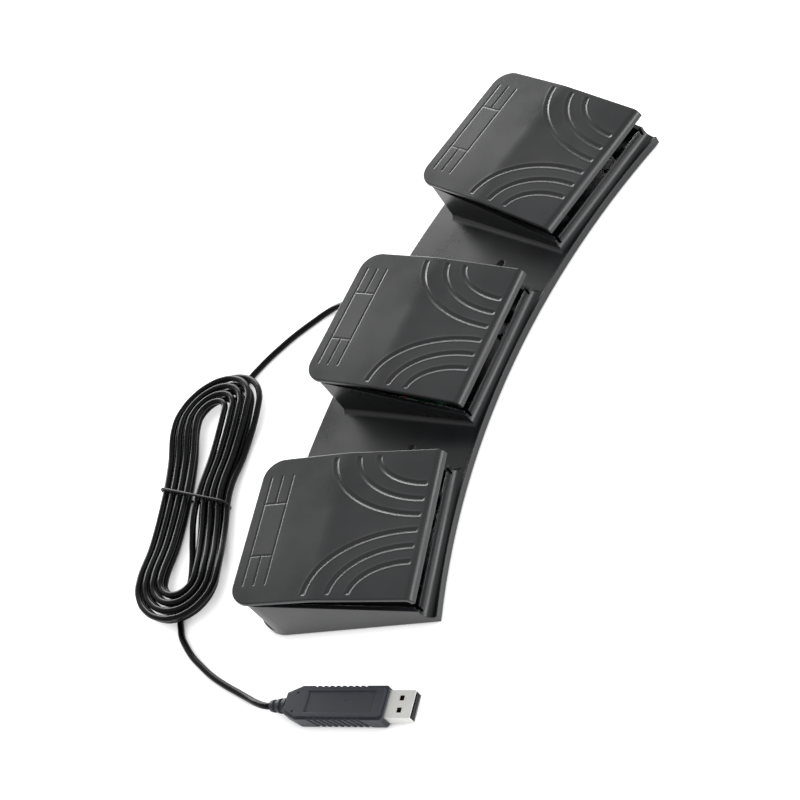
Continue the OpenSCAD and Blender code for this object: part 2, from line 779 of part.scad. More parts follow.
// Circuit boards
terminal_at = [-8.8, 0, 8.8];
terminal_w = 0.9;
terminal_fit = 0.1;
terminal_out = 0.9;
module switch_board(k) {
    difference() {
        block([-board_half, board_from, board_z], [board_half, board_to, case_z]);
        for (at = board_screw_at(k)) round_bore(at, board_hole_r, board_z - over, case_z + over);
        for (t = terminal_at) translate([0, case_mid_v + t, board_z - over])
            linear_extrude(board_t + 2 * over) square(terminal_w + 2 * terminal_fit, center = true);
    }
}
module left_switch_board() { color("#2f6b45") at_pedal(-1) switch_board(-1); }
module middle_switch_board() { color("#2f6b45") at_pedal(0) switch_board(0); }
module right_switch_board() { color("#2f6b45") at_pedal(1) switch_board(1); }

// Pins of the switches, through their boards
module switch_terminals() {
    color("#c8a14a") for (k = [-1, 0, 1]) at_pedal(k) for (t = terminal_at)
        translate([0, case_mid_v + t, board_z - terminal_out])
            linear_extrude(board_t + terminal_out) square(terminal_w, center = true);
}

// Small pan-head screws of all the boards
board_head_r = 1.7;
board_head_h = 1.2;
module board_screw(at) {
    translate([at.x, at.y, case_z]) {
        cylinder(r = board_head_r, h = board_head_h, $fn = small_fn);
        translate([0, 0, -board_screw_l])
            cylinder(r = board_screw_r, h = board_screw_l + over / 2, $fn = small_fn);
    }
}
module board_screws() {
    color("#9a9da1") {
        for (k = [-1, 0, 1]) at_pedal(k) for (at = board_screw_at(k)) board_screw(at);
        at_pedal(0) for (at = ctrl_screw_at) board_screw(at);
    }
}

// Controller in the middle housing
module controller_board() {
    color("#2f6b45") at_pedal(0) difference() {
        block([ctrl_low.x, ctrl_low.y, board_z], [ctrl_high.x, ctrl_high.y, case_z]);
        for (at = ctrl_screw_at) round_bore(at, board_hole_r, board_z - over, case_z + over);
    }
}
chip_mid = (ctrl_low + ctrl_high) / 2;
chip_half = [3.1, 5.2];
chip_h = 1.8;
crystal_half = [2.4, 1.1];
crystal_h = 3.2;
socket_half = [3.8, 2.2];
socket_h = 4;
socket_in = 1;
socket_gap = 2.6;
socket_x = ctrl_low.x + socket_in + socket_half.x - chip_mid.x;
socket_y = chip_half.y + socket_gap + socket_half.y;
module controller_chips() {
    color("#141516") at_pedal(0) translate([chip_mid.x, chip_mid.y, case_z]) {
        block([-chip_half.x, -chip_half.y, 0], [chip_half.x, chip_half.y, chip_h]);
        translate([0, -chip_half.y - 3 * crystal_half.y, 0])
            block([-crystal_half.x, -crystal_half.y, 0], [crystal_half.x, crystal_half.y, crystal_h]);
        translate([socket_x, socket_y, 0])
            block([-socket_half.x, -socket_half.y, 0], [socket_half.x, socket_half.y, socket_h]);
    }
}

// Wires from the switch boards to the controller, two side by side in the duct under the deck
strand_r = 0.45;
strand_half = 0.8;
duct_z = sheet_top + duct_h / 2;
solder_gap = 0.05;
solder_z = case_z + strand_r + solder_gap;
module wire_pair(route) {
    for (s = sides)
        tube([for (p = route) [p.x, wire_y + s * strand_half, p.y]], strand_r, cord_sides, [0, 1, 0]);
}
// A wire that rises through the deck: x from the hole, and z from the duct's middle, from the deck's top
// and from the soldered end
riser_low = [[-2.4, 0], [-1.1, 0.2], [-0.3, 1.1]];
riser_mid = [[0, 0.5]];
riser_high = [[0.2, -0.7], [1, 0.4], [2.4, 0.5], [4.2, 0]];
function riser_part(list, hole, dir, z) = [for (p = list) [hole + dir * p.x, z + p.y]];
function riser(hole, dir) = concat(
    riser_part(riser_low, hole, dir, duct_z), riser_part(riser_mid, hole, dir, deck_h),
    riser_part(riser_high, hole, dir, solder_z)
);
function back(list) = [for (i = [len(list) - 1 : -1 : 0]) list[i]];
module left_wires() {
    color("#8f2f2a") wire_pair(concat(back(riser(duct_hole_x[0], -1)), riser(duct_hole_x[1], 1)));
}
module right_wires() {
    color("#8f2f2a") wire_pair(concat(back(riser(duct_hole_x[3], 1)), riser(duct_hole_x[2], -1)));
}
// Wires across the gap between the two boards: x from the gap's middle and z from the soldered ends
bridge_dy = 3.1;
bridge_x = -board_half - ctrl_board_gap / 2;
bridge_route = [[2.95, 0], [1.35, 0.6], [-0.45, 0.9], [-2.25, 0.6], [-3.85, 0]];
module middle_wires() {
    color("#8f2f2a") translate([0, bridge_dy, 0])
        wire_pair([for (p = bridge_route) [bridge_x + p.x, solder_z + p.y]]);
}

// Cord exit: rubber grommet in the toe wall, clamp and the cord inside the housing
grommet_l = 12.4;
flange_r = 4.4;
flange_t = 1.4;
flange_gap = 0.1;
neck_r = 3;
tip_r = 2.1;
collar_lip = 0.6;
module cord_grommet() {
    color("#1b1b1c") at_pedal(0) translate([exit_u, toe_wall, exit_h]) rotate([-90, 0, 0])
        rotate_extrude($fn = round_fn) polygon([
            [0, -wall_t - flange_gap - flange_t], [flange_r, -wall_t - flange_gap - flange_t],
            [flange_r, -wall_t - flange_gap], [neck_r, -wall_t - flange_gap],
            [neck_r, flange_gap], [exit_r + collar_lip, flange_gap], [exit_r + collar_lip, flange_t],
            [tip_r, grommet_l], [0, grommet_l]
        ]);
}
clamp_bar = [7, 2.5];
clamp_t = 2.6;
module cord_clamp() {
    color("#2b2c2f") at_pedal(0) difference() {
        block(
            [exit_u - clamp_bar.x, clamp_v - clamp_bar.y, exit_h + clamp_gap],
            [exit_u + clamp_bar.x, clamp_v + clamp_bar.y, exit_h + clamp_gap + clamp_t]
        );
        translate([exit_u, clamp_v, exit_h]) rotate([90, 0, 0])
            cylinder(r = cord_r + screw_fit, h = 2 * clamp_bar.y + 2 * over, center = true, $fn = small_fn);
        for (u = clamp_boss_at)
            round_bore([u, clamp_v], board_hole_r, exit_h - over, exit_h + clamp_t + 2 * over);
    }
}
module clamp_screws() {
    color("#9a9da1") at_pedal(0) for (u = clamp_boss_at)
        translate([u, clamp_v, exit_h + clamp_gap + clamp_t]) {
            cylinder(r = board_head_r, h = board_head_h, $fn = small_fn);
            translate([0, 0, -clamp_t - board_screw_l])
                cylinder(r = board_screw_r, h = clamp_t + board_screw_l + over / 2, $fn = small_fn);
        }
}
// Route of the cord inside, v back from the hinge: u from the exit, then u from the middle
inner_exit = [[0, 3.4], [0, -1], [0, -5], [0, -9.8], [-1.4, -11.6], [-5, -12.1]];
inner_run = [
    [12, -12.1], [4, -12.1], [-4, -12.1], [-11, -12.1], [-15.4, -13], [-18, -15], [-20, -17.6],
    [-21.2, -20.5]
];
inner_rise = 0.5;
inner_route = concat([for (p = inner_exit) [exit_u + p.x, p.y, 0]],
    [for (p = inner_run) [p.x, p.y, p.x < -board_half - ctrl_board_gap ? inner_rise : 0]]);
module inner_cord() {
    color("#26272a") at_pedal(0)
        tube([for (p = inner_route) [p.x, hinge_v + p.y, exit_h + p.z]], cord_r);
}

// Cord on the floor: the first points from the grommet's tip, the rest in the part's own frame
lead_start = [exit_u, toe_wall + grommet_l - y_mid, exit_h];
lead_drop = [[0, 2.95, -0.1], [0.1, 8.95, -1.1], [0.3, 14.95, -2.9], [0.2, 20.95, -4.9]];
lead_floor = [
    [23, 84.45, 2.1], [20.2, 88.75, 1.5], [15.4, 92.95, 1.5], [9.4, 97.95, 1.5], [3.4, 102.35, 1.5],
    [-2.4, 105.95, 1.5], [-8, 109.15, 1.5], [-14, 111.95, 1.5]
];
lead_route = concat([lead_start], [for (p = lead_drop) lead_start + p], lead_floor);
tail_route = [
    [-158.4, 72.55, 1.5], [-161.8, 67.95, 1.5], [-165.8, 61.35, 1.5], [-169.2, 53.55, 1.5],
    [-172.4, 44.95, 1.5], [-174.8, 35.75, 1.5], [-176.6, 26.95, 1.6], [-178.2, 19.35, 2.2],
    [-179.6, 12.75, 3.4]
];

// Hank: loops wound flat in two layers, drawn in at the waist and bowed.
// Its places are a, along the hank, and n, across it.
hank_at = [-91.7, 104.85];
hank_turn = 20.6;
hank_loops = 8;
hank_half_run = 45.8;
hank_inner_r = 7;
hank_pitch = 4.2;
hank_layer = 3.5;
hank_waist = 4;
hank_bow = 2.3;
hank_taper = 0.025;
hank_end_lift = 3.6;
hank_waist_lift = 1.1;
run_steps = 4;
turn_steps = 8;
loop_steps = 2 * (run_steps + turn_steps);
function smooth(x) = let (c = min(max(x, 0), 1)) c * c * (3 - 2 * c);
function hump(a) = pow(cos(90 * min(abs(a) / hank_half_run, 1)), 2);
function bow(a) = -hank_bow * pow(a / hank_half_run, 2);
function wide(a) = 1 + hank_taper * max(-1, min(1, a / hank_half_run));
function hank_r(t) = hank_inner_r + hank_pitch * min(t, hank_loops - t);
function lift(a) = hank_end_lift * smooth(2 * abs(a) / hank_half_run - 1) + hank_waist_lift * hump(a);
function climb(t) = hank_layer * smooth((t - hank_loops / 2) * loop_steps / run_steps);
function run_place(a, r, side) = [a, bow(a) - side * (r * wide(a) - hank_waist * hump(a))];
function turn_place(turn, r, side) =
    let (
        wide_r = r * wide(-side * hank_half_run),
        a = -side * (hank_half_run + wide_r * sin(turn))
    )
    [a, bow(a) - side * wide_r * cos(turn)];
function hank_ring(i) =
    let (
        t = i / loop_steps,
        half = loop_steps / 2,
        j = i % half,
        side = i % loop_steps < half ? 1 : -1,
        place = j < run_steps
            ? run_place(side * hank_half_run * (1 - 2 * j / run_steps), hank_r(t), side)
            : turn_place(180 * (j - run_steps) / turn_steps, hank_r(t), side)
    )
    [place.x, place.y, cord_r + lift(place.x) + climb(t)];
hank_in = [
    [69.7, -15.7, 1.5], [64.5, -12.3, 1.5], [59, -10.3, 1.5], [53, -9.6, 1.5], [45.8, -9.5, 1.5],
    [34.4, -7.8, 1.6], [22.9, -5.6, 1.9], [11.5, -3.8, 2.2]
];
hank_out = [
    [-11.5, -1.7, 4.9], [-22.9, -2.4, 3.2], [-34.4, -3.9, 1.8], [-45.8, -5, 1.5], [-52, -4.2, 1.5],
    [-58, -3.6, 1.5], [-64, -3.7, 1.5], [-69.5, -5.2, 1.5]
];
hank_path = concat(
    hank_in,
    [for (i = [run_steps / 2 : hank_loops * loop_steps + run_steps / 2]) hank_ring(i)],
    hank_out
);
function hank_place(p) = [
    hank_at.x + p.x * cos(hank_turn) - p.y * sin(hank_turn),
    hank_at.y + p.x * sin(hank_turn) + p.y * cos(hank_turn),
    p.z
];
hank_points = [for (p = hank_path) hank_place(p)];
module cord_hank() {
    color("#26272a") tube(hank_points, cord_r, coil_sides);
}

// The least gap of the hank to itself, measured between its points and the middles of its steps
hank_fine = [for (i = [0 : len(hank_path) - 2])
    each [hank_path[i], (hank_path[i] + hank_path[i + 1]) / 2]];
hank_skip = 8;
hank_gap = min([for (i = [0 : len(hank_fine) - hank_skip - 1])
    min([for (j = [i + hank_skip : len(hank_fine) - 1]) norm(hank_fine[i] - hank_fine[j])])]) - cord_d;
echo(hank_gap = hank_gap, hank_length = path_length(hank_points));

module cord_lead() {
    color("#26272a") tube(concat(lead_route, [hank_points[0]]), cord_r);
}
module cord_tail() {
    color("#26272a") tube(concat([hank_points[len(hank_points) - 1]], tail_route, [
        plug_place(plug_l + boot_l + cord_d), plug_place(plug_l + boot_l)
    ]), cord_r);
}

// Twist tie round the waist of the hank
tie_r = 0.4;
tie_turn = -22.8;
tie_half = 24.4;
tie_low = 0.42;
tie_high = 8.3;
tie_corner = 2.2;
tie_bend = 0.3;
module cord_tie() {
    ring_points = [
        [tie_half - tie_corner, tie_low],
        [tie_half - tie_bend * tie_corner, tie_low + tie_bend * tie_corner],
        [tie_half, tie_low + tie_corner],
        [tie_half, tie_high - tie_corner],
        [tie_half - tie_bend * tie_corner, tie_high - tie_bend * tie_corner],
        [tie_half - tie_corner, tie_high]
    ];
    closed = concat(ring_points, [for (p = back(ring_points)) [-p.x, p.y]]);
    n = len(closed);
    points = [for (i = [0 : n - 1]) each
        let (
            t = unit(closed[(i + 1) % n] - closed[(i + n - 1) % n]),
            side = [t.y, -t.x]
        )
        [for (j = [0 : coil_sides - 1])
            let (turn = 360 * j / coil_sides)
            [
                tie_r * sin(turn),
                closed[i].x + tie_r * cos(turn) * side.x,
                closed[i].y + tie_r * cos(turn) * side.y
            ]]];
    faces = [for (i = [0 : n - 1], j = [0 : coil_sides - 1])
        let (
            next = (j + 1) % coil_sides,
            a = i * coil_sides + j,
            b = i * coil_sides + next,
            c = ((i + 1) % n) * coil_sides + next,
            d = ((i + 1) % n) * coil_sides + j
        )
        each [[a, c, b], [a, d, c]]];
    color("#303134") translate([hank_at.x, hank_at.y, 0]) rotate([0, 0, hank_turn + tie_turn])
        polyhedron(points, faces);
}

// Plug, lying flat on the floor. Its own x runs from the end of the moulded body back to the cord.
plug_at = [-168, -53.05];
plug_turn = 101.5;
plug_z = plug_h / 2;
boot_l = 8.5;
boot_r = 3.6;
boot_tip_r = 2.4;
boot_ribs = 2;
plug_chamfer = 7;
plug_neck = 9;
panel_d = 0.4;
panel_half_w = 4.8;
panel_from = 5;
panel_to = 38;
function plug_place(x) = [plug_at.x + x * cos(plug_turn), plug_at.y + x * sin(plug_turn), plug_z];
module at_plug() {
    translate([plug_at.x, plug_at.y, plug_z]) rotate([0, 0, plug_turn]) children();
}
// Outline of the moulded body in plan, narrow at the cord, drawn in by inset
module plug_plan(inset = 0) {
    half = plug_w / 2 - inset;
    neck = plug_neck / 2 - inset;
    polygon([
        [inset, -half + plug_edge], [inset + plug_edge, -half],
        [plug_l - plug_chamfer, -half], [plug_l - inset, -neck],
        [plug_l - inset, neck], [plug_l - plug_chamfer, half],
        [inset + plug_edge, half], [inset, half - plug_edge]
    ]);
}
plug_edge = 1;
grip_w = 1.4;
grip_step = 3;
grip_from = 10;
grip_count = 9;
grip_d = 0.45;
grip_lean = 25;
dimple_at = [[19, -0.6], [43, -3.9], [43.4, 4.4]];
dimple_r = 0.5;
dimple_d = 0.6;
shell_in = 8;
shell_t = 0.3;
hole_side = 2.2;
hole_in = 4.6;
hole_half = 2.6;
module plug_body() {
    color("#43474f") at_plug() difference() {
        union() {
            translate([0, 0, -plug_h / 2 + plug_edge]) linear_extrude(plug_h - 2 * plug_edge) plug_plan();
            translate([0, 0, -plug_h / 2]) linear_extrude(plug_h) plug_plan(plug_edge);
        }
        block(
            [panel_from, -panel_half_w, plug_h / 2 - panel_d],
            [panel_to, panel_half_w, plug_h / 2 + over]
        );
        for (at = dimple_at) round_bore(at, dimple_r, plug_h / 2 - dimple_d, plug_h / 2 + over);
        for (s = sides, i = [0 : grip_count - 1])
            translate([grip_from + i * grip_step, s * (plug_w / 2 - grip_d + over), 0])
                rotate([0, grip_lean, 0]) cube([grip_w, 2 * over, 2 * plug_h], center = true);
        block(
            [-over, -shell_w / 2 - pin_fit, -shell_h / 2 - pin_fit],
            [shell_in + pin_fit, shell_w / 2 + pin_fit, shell_h / 2 + pin_fit]
        );
        block([0, -board_slot.x, -board_slot.y], [board_slot_to, board_slot.x, board_slot.y]);
    }
}
board_slot = [5.6, 1];
board_slot_to = 27;
// Ribbed boot where the cord enters the plug
module plug_boot() {
    groove = 0.7;
    step = boot_l / (2 * boot_ribs + 1);
    side = concat(
        [[0, 0], [boot_r, 0]],
        [for (i = [0 : boot_ribs - 1]) each
            let (x = step * (2 * i + 1), r = boot_r - (boot_r - boot_tip_r) * x / boot_l)
            [[r, x], [r - groove, x], [r - groove, x + step], [r - groove / 4, x + step]]],
        [[boot_tip_r, boot_l], [0, boot_l]]
    );
    color("#3a3d44") at_plug() translate([plug_l, 0, 0]) rotate([0, 90, 0])
        rotate_extrude($fn = round_fn) polygon(side);
}
// Metal shell, open at the mouth, with two square holes in its top and bottom
module plug_shell() {
    color("#c9cbce") at_plug() difference() {
        block([-shell_out, -shell_w / 2, -shell_h / 2], [shell_in, shell_w / 2, shell_h / 2]);
        block(
            [-shell_out - over, -shell_w / 2 + shell_t, -shell_h / 2 + shell_t],
            [shell_in + over, shell_w / 2 - shell_t, shell_h / 2 - shell_t]
        );
        for (s = sides) block(
            [-shell_out + hole_in, s * hole_half - hole_side / 2, -shell_h],
            [-shell_out + hole_in + hole_side, s * hole_half + hole_side / 2, shell_h]
        );
    }
}
// Plastic tongue in the shell, with a full-width block at its root
tongue_t = 1.9;
tongue_back = 0.6;
tongue_root = 3;
tongue_fit = 0.04;
tongue_low = -shell_h / 2 + shell_t + tongue_fit;
module plug_insulator() {
    color("#17181a") at_plug() difference() {
        union() {
            block(
                [-shell_out + tongue_back, -shell_w / 2 + shell_t + tongue_fit, tongue_low],
                [shell_in - tongue_root, shell_w / 2 - shell_t - tongue_fit, tongue_low + tongue_t]
            );
            block(
                [0, -shell_w / 2 + shell_t + tongue_fit, tongue_low],
                [shell_in - tongue_root, shell_w / 2 - shell_t - tongue_fit, -tongue_low]
            );
        }
        for (y = contact_at) contact_cut(y, tongue_fit);
    }
}
contact_at = [-3.5, -1, 1, 3.5];
contact_w = 1;
contact_t = 0.3;
contact_back = 1.4;
module contact_cut(y, fit) {
    block(
        [
            -shell_out + contact_back - fit, y - contact_w / 2 - fit,
            tongue_low + tongue_t - contact_t - fit / 2
        ],
        [shell_in + over, y + contact_w / 2 + fit, tongue_low + tongue_t + (fit > 0 ? fit : 0)]
    );
}
module plug_contacts() {
    color("#d0a84c") at_plug() for (y = contact_at) intersection() {
        contact_cut(y, 0);
        block([-shell_out, -shell_w, -shell_h], [shell_in + over / 2, shell_w, shell_h]);
    }
}
// Small board behind the contacts, inside the moulded body
module plug_board() {
    color("#2f6b45") at_plug() block(
        [shell_in + over, -board_slot.x + tongue_fit, -board_t / 2],
        [board_slot_to - over, board_slot.x - tongue_fit, board_t / 2]
    );
}

base_shell();
bottom_plate();
bottom_screws();
rubber_feet();
stop_pads();
left_pedal();
middle_pedal();
right_pedal();
left_hinge_pin();
middle_hinge_pin();
right_hinge_pin();
left_spring();
middle_spring();
right_spring();
left_switch_case();
middle_switch_case();
right_switch_case();
left_switch_lever();
middle_switch_lever();
right_switch_lever();
left_switch_plunger();
middle_switch_plunger();
right_switch_plunger();
left_switch_board();
middle_switch_board();
right_switch_board();
switch_terminals();
board_screws();
controller_board();
controller_chips();
left_wires();
middle_wires();
right_wires();
cord_grommet();
cord_clamp();
clamp_screws();
inner_cord();
cord_lead();
cord_hank();
cord_tail();
cord_tie();
plug_boot();
plug_body();
plug_shell();
plug_insulator();
plug_contacts();
plug_board();
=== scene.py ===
"""Looks of a foot switch with three hinged pedals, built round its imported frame.

Sizes in the classes are millimetres unless a name or comment says otherwise. Blender works in metres.
A pedal's own places are u, across it, v, the distance from the fan's centre, and z, up from the floor.
"""

import json
import logging
import math
from dataclasses import dataclass, field
from enum import Enum

import bmesh
import bpy
from mathutils import Matrix, Vector


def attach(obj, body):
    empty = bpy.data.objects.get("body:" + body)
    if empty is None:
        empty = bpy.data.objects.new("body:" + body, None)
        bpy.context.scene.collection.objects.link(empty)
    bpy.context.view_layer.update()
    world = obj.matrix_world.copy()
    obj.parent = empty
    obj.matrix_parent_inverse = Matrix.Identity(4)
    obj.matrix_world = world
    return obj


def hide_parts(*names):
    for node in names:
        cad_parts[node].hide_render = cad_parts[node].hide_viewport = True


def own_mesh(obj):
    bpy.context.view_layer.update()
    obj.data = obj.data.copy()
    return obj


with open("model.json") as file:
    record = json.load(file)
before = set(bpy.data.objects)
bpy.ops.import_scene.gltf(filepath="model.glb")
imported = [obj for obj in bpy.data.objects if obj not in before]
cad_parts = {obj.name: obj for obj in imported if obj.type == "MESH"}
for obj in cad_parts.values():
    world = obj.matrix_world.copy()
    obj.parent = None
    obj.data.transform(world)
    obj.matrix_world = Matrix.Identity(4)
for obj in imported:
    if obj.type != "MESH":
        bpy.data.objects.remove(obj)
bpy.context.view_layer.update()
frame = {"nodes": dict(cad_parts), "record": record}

MM = 0.001
WHITE = "#ffffff"
TINY = 1e-9  # keeps a division from zero
LINE_ROUNDS = 4  # facets over a quarter of a round line
LINE_STEPS = 6  # steps from knot to knot of a smooth line
log = logging.getLogger("foot_switch")


def linear(hex_colour: str) -> tuple[float, float, float, float]:
    """Turns an sRGB hex colour to the linear colour that shaders read.

    Args:
        hex_colour: The colour as #rrggbb.

    Returns:
        Red, green, blue and alpha, linear, from 0 to 1.
    """
    toe, slope, offset, power = 0.04045, 12.92, 0.055, 2.4
    shares = [int(hex_colour[i:i + 2], 16) / 255 for i in (1, 3, 5)]
    flat = [s / slope if s <= toe else ((s + offset) / (1 + offset)) ** power for s in shares]
    return (*flat, 1.0)


def add_node(tree: bpy.types.NodeTree, kind: str, settings: dict | None = None,
             links: dict | None = None) -> bpy.types.Node:
    """Adds one node with its settings and the links into it.

    Args:
        tree: The node tree that takes the node.
        kind: The node's type, without its ShaderNode start.
        settings: Values by the name of a property of the node, or of an input or its number.
        links: Output sockets by the name of the input that they go to, or its number.

    Returns:
        The new node.
    """
    node = tree.nodes.new("ShaderNode" + kind)
    for key, value in (settings or {}).items():
        if isinstance(key, str) and hasattr(node, key):
            setattr(node, key, value)
        else:
            node.inputs[key].default_value = value
    for key, socket in (links or {}).items():
        tree.links.new(socket, node.inputs[key])
    return node


def empty_material(name: str) -> tuple[bpy.types.Material, bpy.types.NodeTree]:
    """Makes a material with no nodes.

    Args:
        name: The material's name.

    Returns:
        The material and its node tree.
    """
    material = bpy.data.materials.new(name)
    material.use_nodes = True
    material.node_tree.nodes.clear()
    return material, material.node_tree


def per_metre(size_mm: float) -> float:
    """A texture scale whose pattern repeats at about this real size."""
    return 1 / (size_mm * MM)


def noise(tree: bpy.types.NodeTree, place: bpy.types.NodeSocket, size_mm: float,
          detail: float) -> bpy.types.NodeSocket:
    """Adds a noise pattern of a real size.

    Args:
        tree: The node tree that takes it.
        place: The coordinates that it lies on.
        size_mm: The size of its blots.
        detail: How many finer layers it has.

    Returns:
        The pattern's strength.
    """
    made = add_node(tree, "TexNoise", {"Scale": per_metre(size_mm), "Detail": detail}, {"Vector": place})
    return made.outputs["Fac"]


def blend(tree: bpy.types.NodeTree, first: str, second: str,
          share: bpy.types.NodeSocket) -> bpy.types.NodeSocket:
    """Mixes two hex colours by a share.

    Args:
        tree: The node tree that takes the mix.
        first: The colour at share 0.
        second: The colour at share 1.
        share: The second colour's share.

    Returns:
        The mixed colour.
    """
    mixed = add_node(tree, "Mix", {"data_type": "RGBA", 6: linear(first), 7: linear(second)}, {0: share})
    return mixed.outputs[2]


def remap(tree: bpy.types.NodeTree, value: bpy.types.NodeSocket, low: float, high: float,
          band: tuple[float, float] = (0.0, 1.0)) -> bpy.types.NodeSocket:
    """Maps a value evenly from one band to another.

    Args:
        tree: The node tree that takes the map.
        value: The value.
        low: What the band's start becomes.
        high: What the band's end becomes.
        band: Where the value starts and ends.

    Returns:
        The mapped value, kept within low and high.
    """
    settings = {"From Min": band[0], "From Max": band[1], "To Min": low, "To Max": high}
    return add_node(tree, "MapRange", settings, {"Value": value}).outputs["Result"]


def bumped(tree: bpy.types.NodeTree, height: bpy.types.NodeSocket, depth_mm: float) -> bpy.types.Node:
    """Shakes the surface's normal by a pattern of a real depth.

    Args:
        tree: The node tree that takes the bump.
        height: The pattern.
        depth_mm: The depth from the pattern's 0 to its 1.

    Returns:
        The bump's node.
    """
    return add_node(tree, "Bump", {"Distance": depth_mm * MM}, {"Height": height})


def surface(tree: bpy.types.NodeTree, settings: dict, colour: bpy.types.NodeSocket, bump: bpy.types.Node,
            rough: bpy.types.NodeSocket | None = None) -> None:
    """Ends a material in its shader.

    Args:
        tree: The material's node tree.
        settings: Plain values of the shader's inputs.
        colour: Its base colour.
        bump: The node that gives its normal.
        rough: Its roughness, where a pattern gives it.
    """
    links = {"Base Color": colour, "Normal": bump.outputs["Normal"]}
    if rough is not None:
        links["Roughness"] = rough
    shader = add_node(tree, "BsdfPrincipled", settings, links)
    add_node(tree, "OutputMaterial", links={"Surface": shader.outputs["BSDF"]})


def smooth(x: float) -> float:
    """An even rise from 0 at x = 0 to 1 at x = 1."""
    c = min(max(x, 0.0), 1.0)
    return c * c * (3 - 2 * c)


class PedalSide(Enum):
    """The three places of the fan, as the user sees them, by their turn in steps."""

    LEFT = -1
    MIDDLE = 0
    RIGHT = 1

    @property
    def word(self) -> str:
        """The side's word in the names of nodes and bodies."""
        return self.name.lower()


@dataclass(frozen=True)
class Fan:
    """The fan that the pedals and housings are laid out on."""

    step_deg: float = 15.0
    middle_v: float = 394.70328334804406

    def matrix(self, side: PedalSide) -> Matrix:
        """Matrix from metres in u, v and z of one pedal to the part's frame.

        Args:
            side: Which pedal.

        Returns:
            The matrix of an object whose mesh is drawn in u, v and z, in metres.
        """
        turn = Matrix.Rotation(-side.value * math.radians(self.step_deg), 4, "Z")
        return Matrix.Translation((0, -self.middle_v * MM, 0)) @ turn


@dataclass(frozen=True)
class MouldedPlastic:
    """Plastic moulded in a spark-eroded tool.

    It gives the eye a dark satin skin with a fine grain, slow clouds of more and less gloss, and edges
    that are a little lighter where hands and shoes rub them.
    """

    name: str
    colour: str
    worn: str
    roughness: float
    sheen_spread: float = 0.08
    grain_mm: float = 0.7  # spark grain is near 0.1 mm, drawn coarser so that it shows
    grain_depth_mm: float = 0.012
    cloud_mm: float = 38.0
    edge_mm: float = 0.35
    specular: float = 0.5
    index: float = 1.53
    cloud_detail: float = 3.0
    grain_detail: float = 2.0
    gloss_band: tuple[float, float] = (0.3, 0.7)  # of the clouds, where the gloss goes from most to least
    mottle: float = 0.16
    bevel_samples: int = 4
    edge_band: tuple[float, float] = (0.995, 0.86)  # of the rounded normal along the flat one
    edge_share: float = 0.7

    def material(self) -> bpy.types.Material:
        """Builds the material.

        Returns:
            A material whose patterns follow the object's own coordinates.
        """
        material, tree = empty_material(self.name)
        place = add_node(tree, "TexCoord").outputs["Object"]
        cloud = noise(tree, place, self.cloud_mm, self.cloud_detail)
        grain = noise(tree, place, self.grain_mm, self.grain_detail)
        rounded = add_node(tree, "Bevel", {"samples": self.bevel_samples, "Radius": self.edge_mm * MM})
        bump = bumped(tree, grain, self.grain_depth_mm)
        tree.links.new(rounded.outputs["Normal"], bump.inputs["Normal"])
        flat = add_node(tree, "NewGeometry").outputs["Normal"]
        facing = add_node(tree, "VectorMath", {"operation": "DOT_PRODUCT"},
                          {0: rounded.outputs["Normal"], 1: flat})
        edge = remap(tree, facing.outputs["Value"], 0.0, self.edge_share, self.edge_band)
        colour = blend(tree, self.colour, self.worn, edge)
        mottled = add_node(tree, "Mix", {"data_type": "RGBA", "blend_type": "MULTIPLY", 0: self.mottle},
                           {6: colour, 7: cloud})
        rough = remap(tree, cloud, self.roughness - self.sheen_spread, self.roughness + self.sheen_spread,
                      self.gloss_band)
        surface(tree, {"IOR": self.index, "Specular IOR Level": self.specular},
                mottled.outputs[2], bump, rough)
        return material


@dataclass(frozen=True)
class VinylJacket:
    """Extruded PVC cord jacket.

    It gives the eye a near-black satin line with a soft light along its top, faint drawing marks along
    it and slow dull patches where it was handled.
    """

    name: str = "extruded_vinyl"
    colour: str = "#08080a"
    dusty: str = "#0f1011"
    roughness: float = 0.25
    specular: float = 0.12
    glossier: float = 0.08
    duller: float = 0.12
    index: float = 1.54
    patch_mm: float = 14.0
    patch_detail: float = 4.0
    mark_mm: float = 0.6
    mark_detail: float = 1.0
    mark_depth_mm: float = 0.01

    def material(self) -> bpy.types.Material:
        """Builds the material.

        Returns:
            The jacket's material.
        """
        material, tree = empty_material(self.name)
        place = add_node(tree, "TexCoord").outputs["Object"]
        patch = noise(tree, place, self.patch_mm, self.patch_detail)
        mark = noise(tree, place, self.mark_mm, self.mark_detail)
        rough = remap(tree, patch, self.roughness - self.glossier, self.roughness + self.duller)
        surface(tree, {"IOR": self.index, "Specular IOR Level": self.specular},
                blend(tree, self.colour, self.dusty, patch), bumped(tree, mark, self.mark_depth_mm), rough)
        return material


@dataclass(frozen=True)
class CuredRubber:
    """Moulded black rubber: matt, faintly powdery, with a soft uneven surface."""

    name: str = "cured_rubber"
    colour: str = "#18181a"
    bloom: str = "#2a2a2b"
    roughness: float = 0.78
    index: float = 1.52
    bloom_mm: float = 5.0
    bloom_detail: float = 5.0
    pore_mm: float = 0.5
    pore_detail: float = 2.0
    pore_depth_mm: float = 0.03

    def material(self) -> bpy.types.Material:
        """Builds the material.

        Returns:
            The rubber's material.
        """
        material, tree = empty_material(self.name)
        place = add_node(tree, "TexCoord").outputs["Object"]
        bloom = noise(tree, place, self.bloom_mm, self.bloom_detail)
        pore = noise(tree, place, self.pore_mm, self.pore_detail)
        surface(tree, {"Roughness": self.roughness, "IOR": self.index},
                blend(tree, self.colour, self.bloom, bloom), bumped(tree, pore, self.pore_depth_mm))
        return material


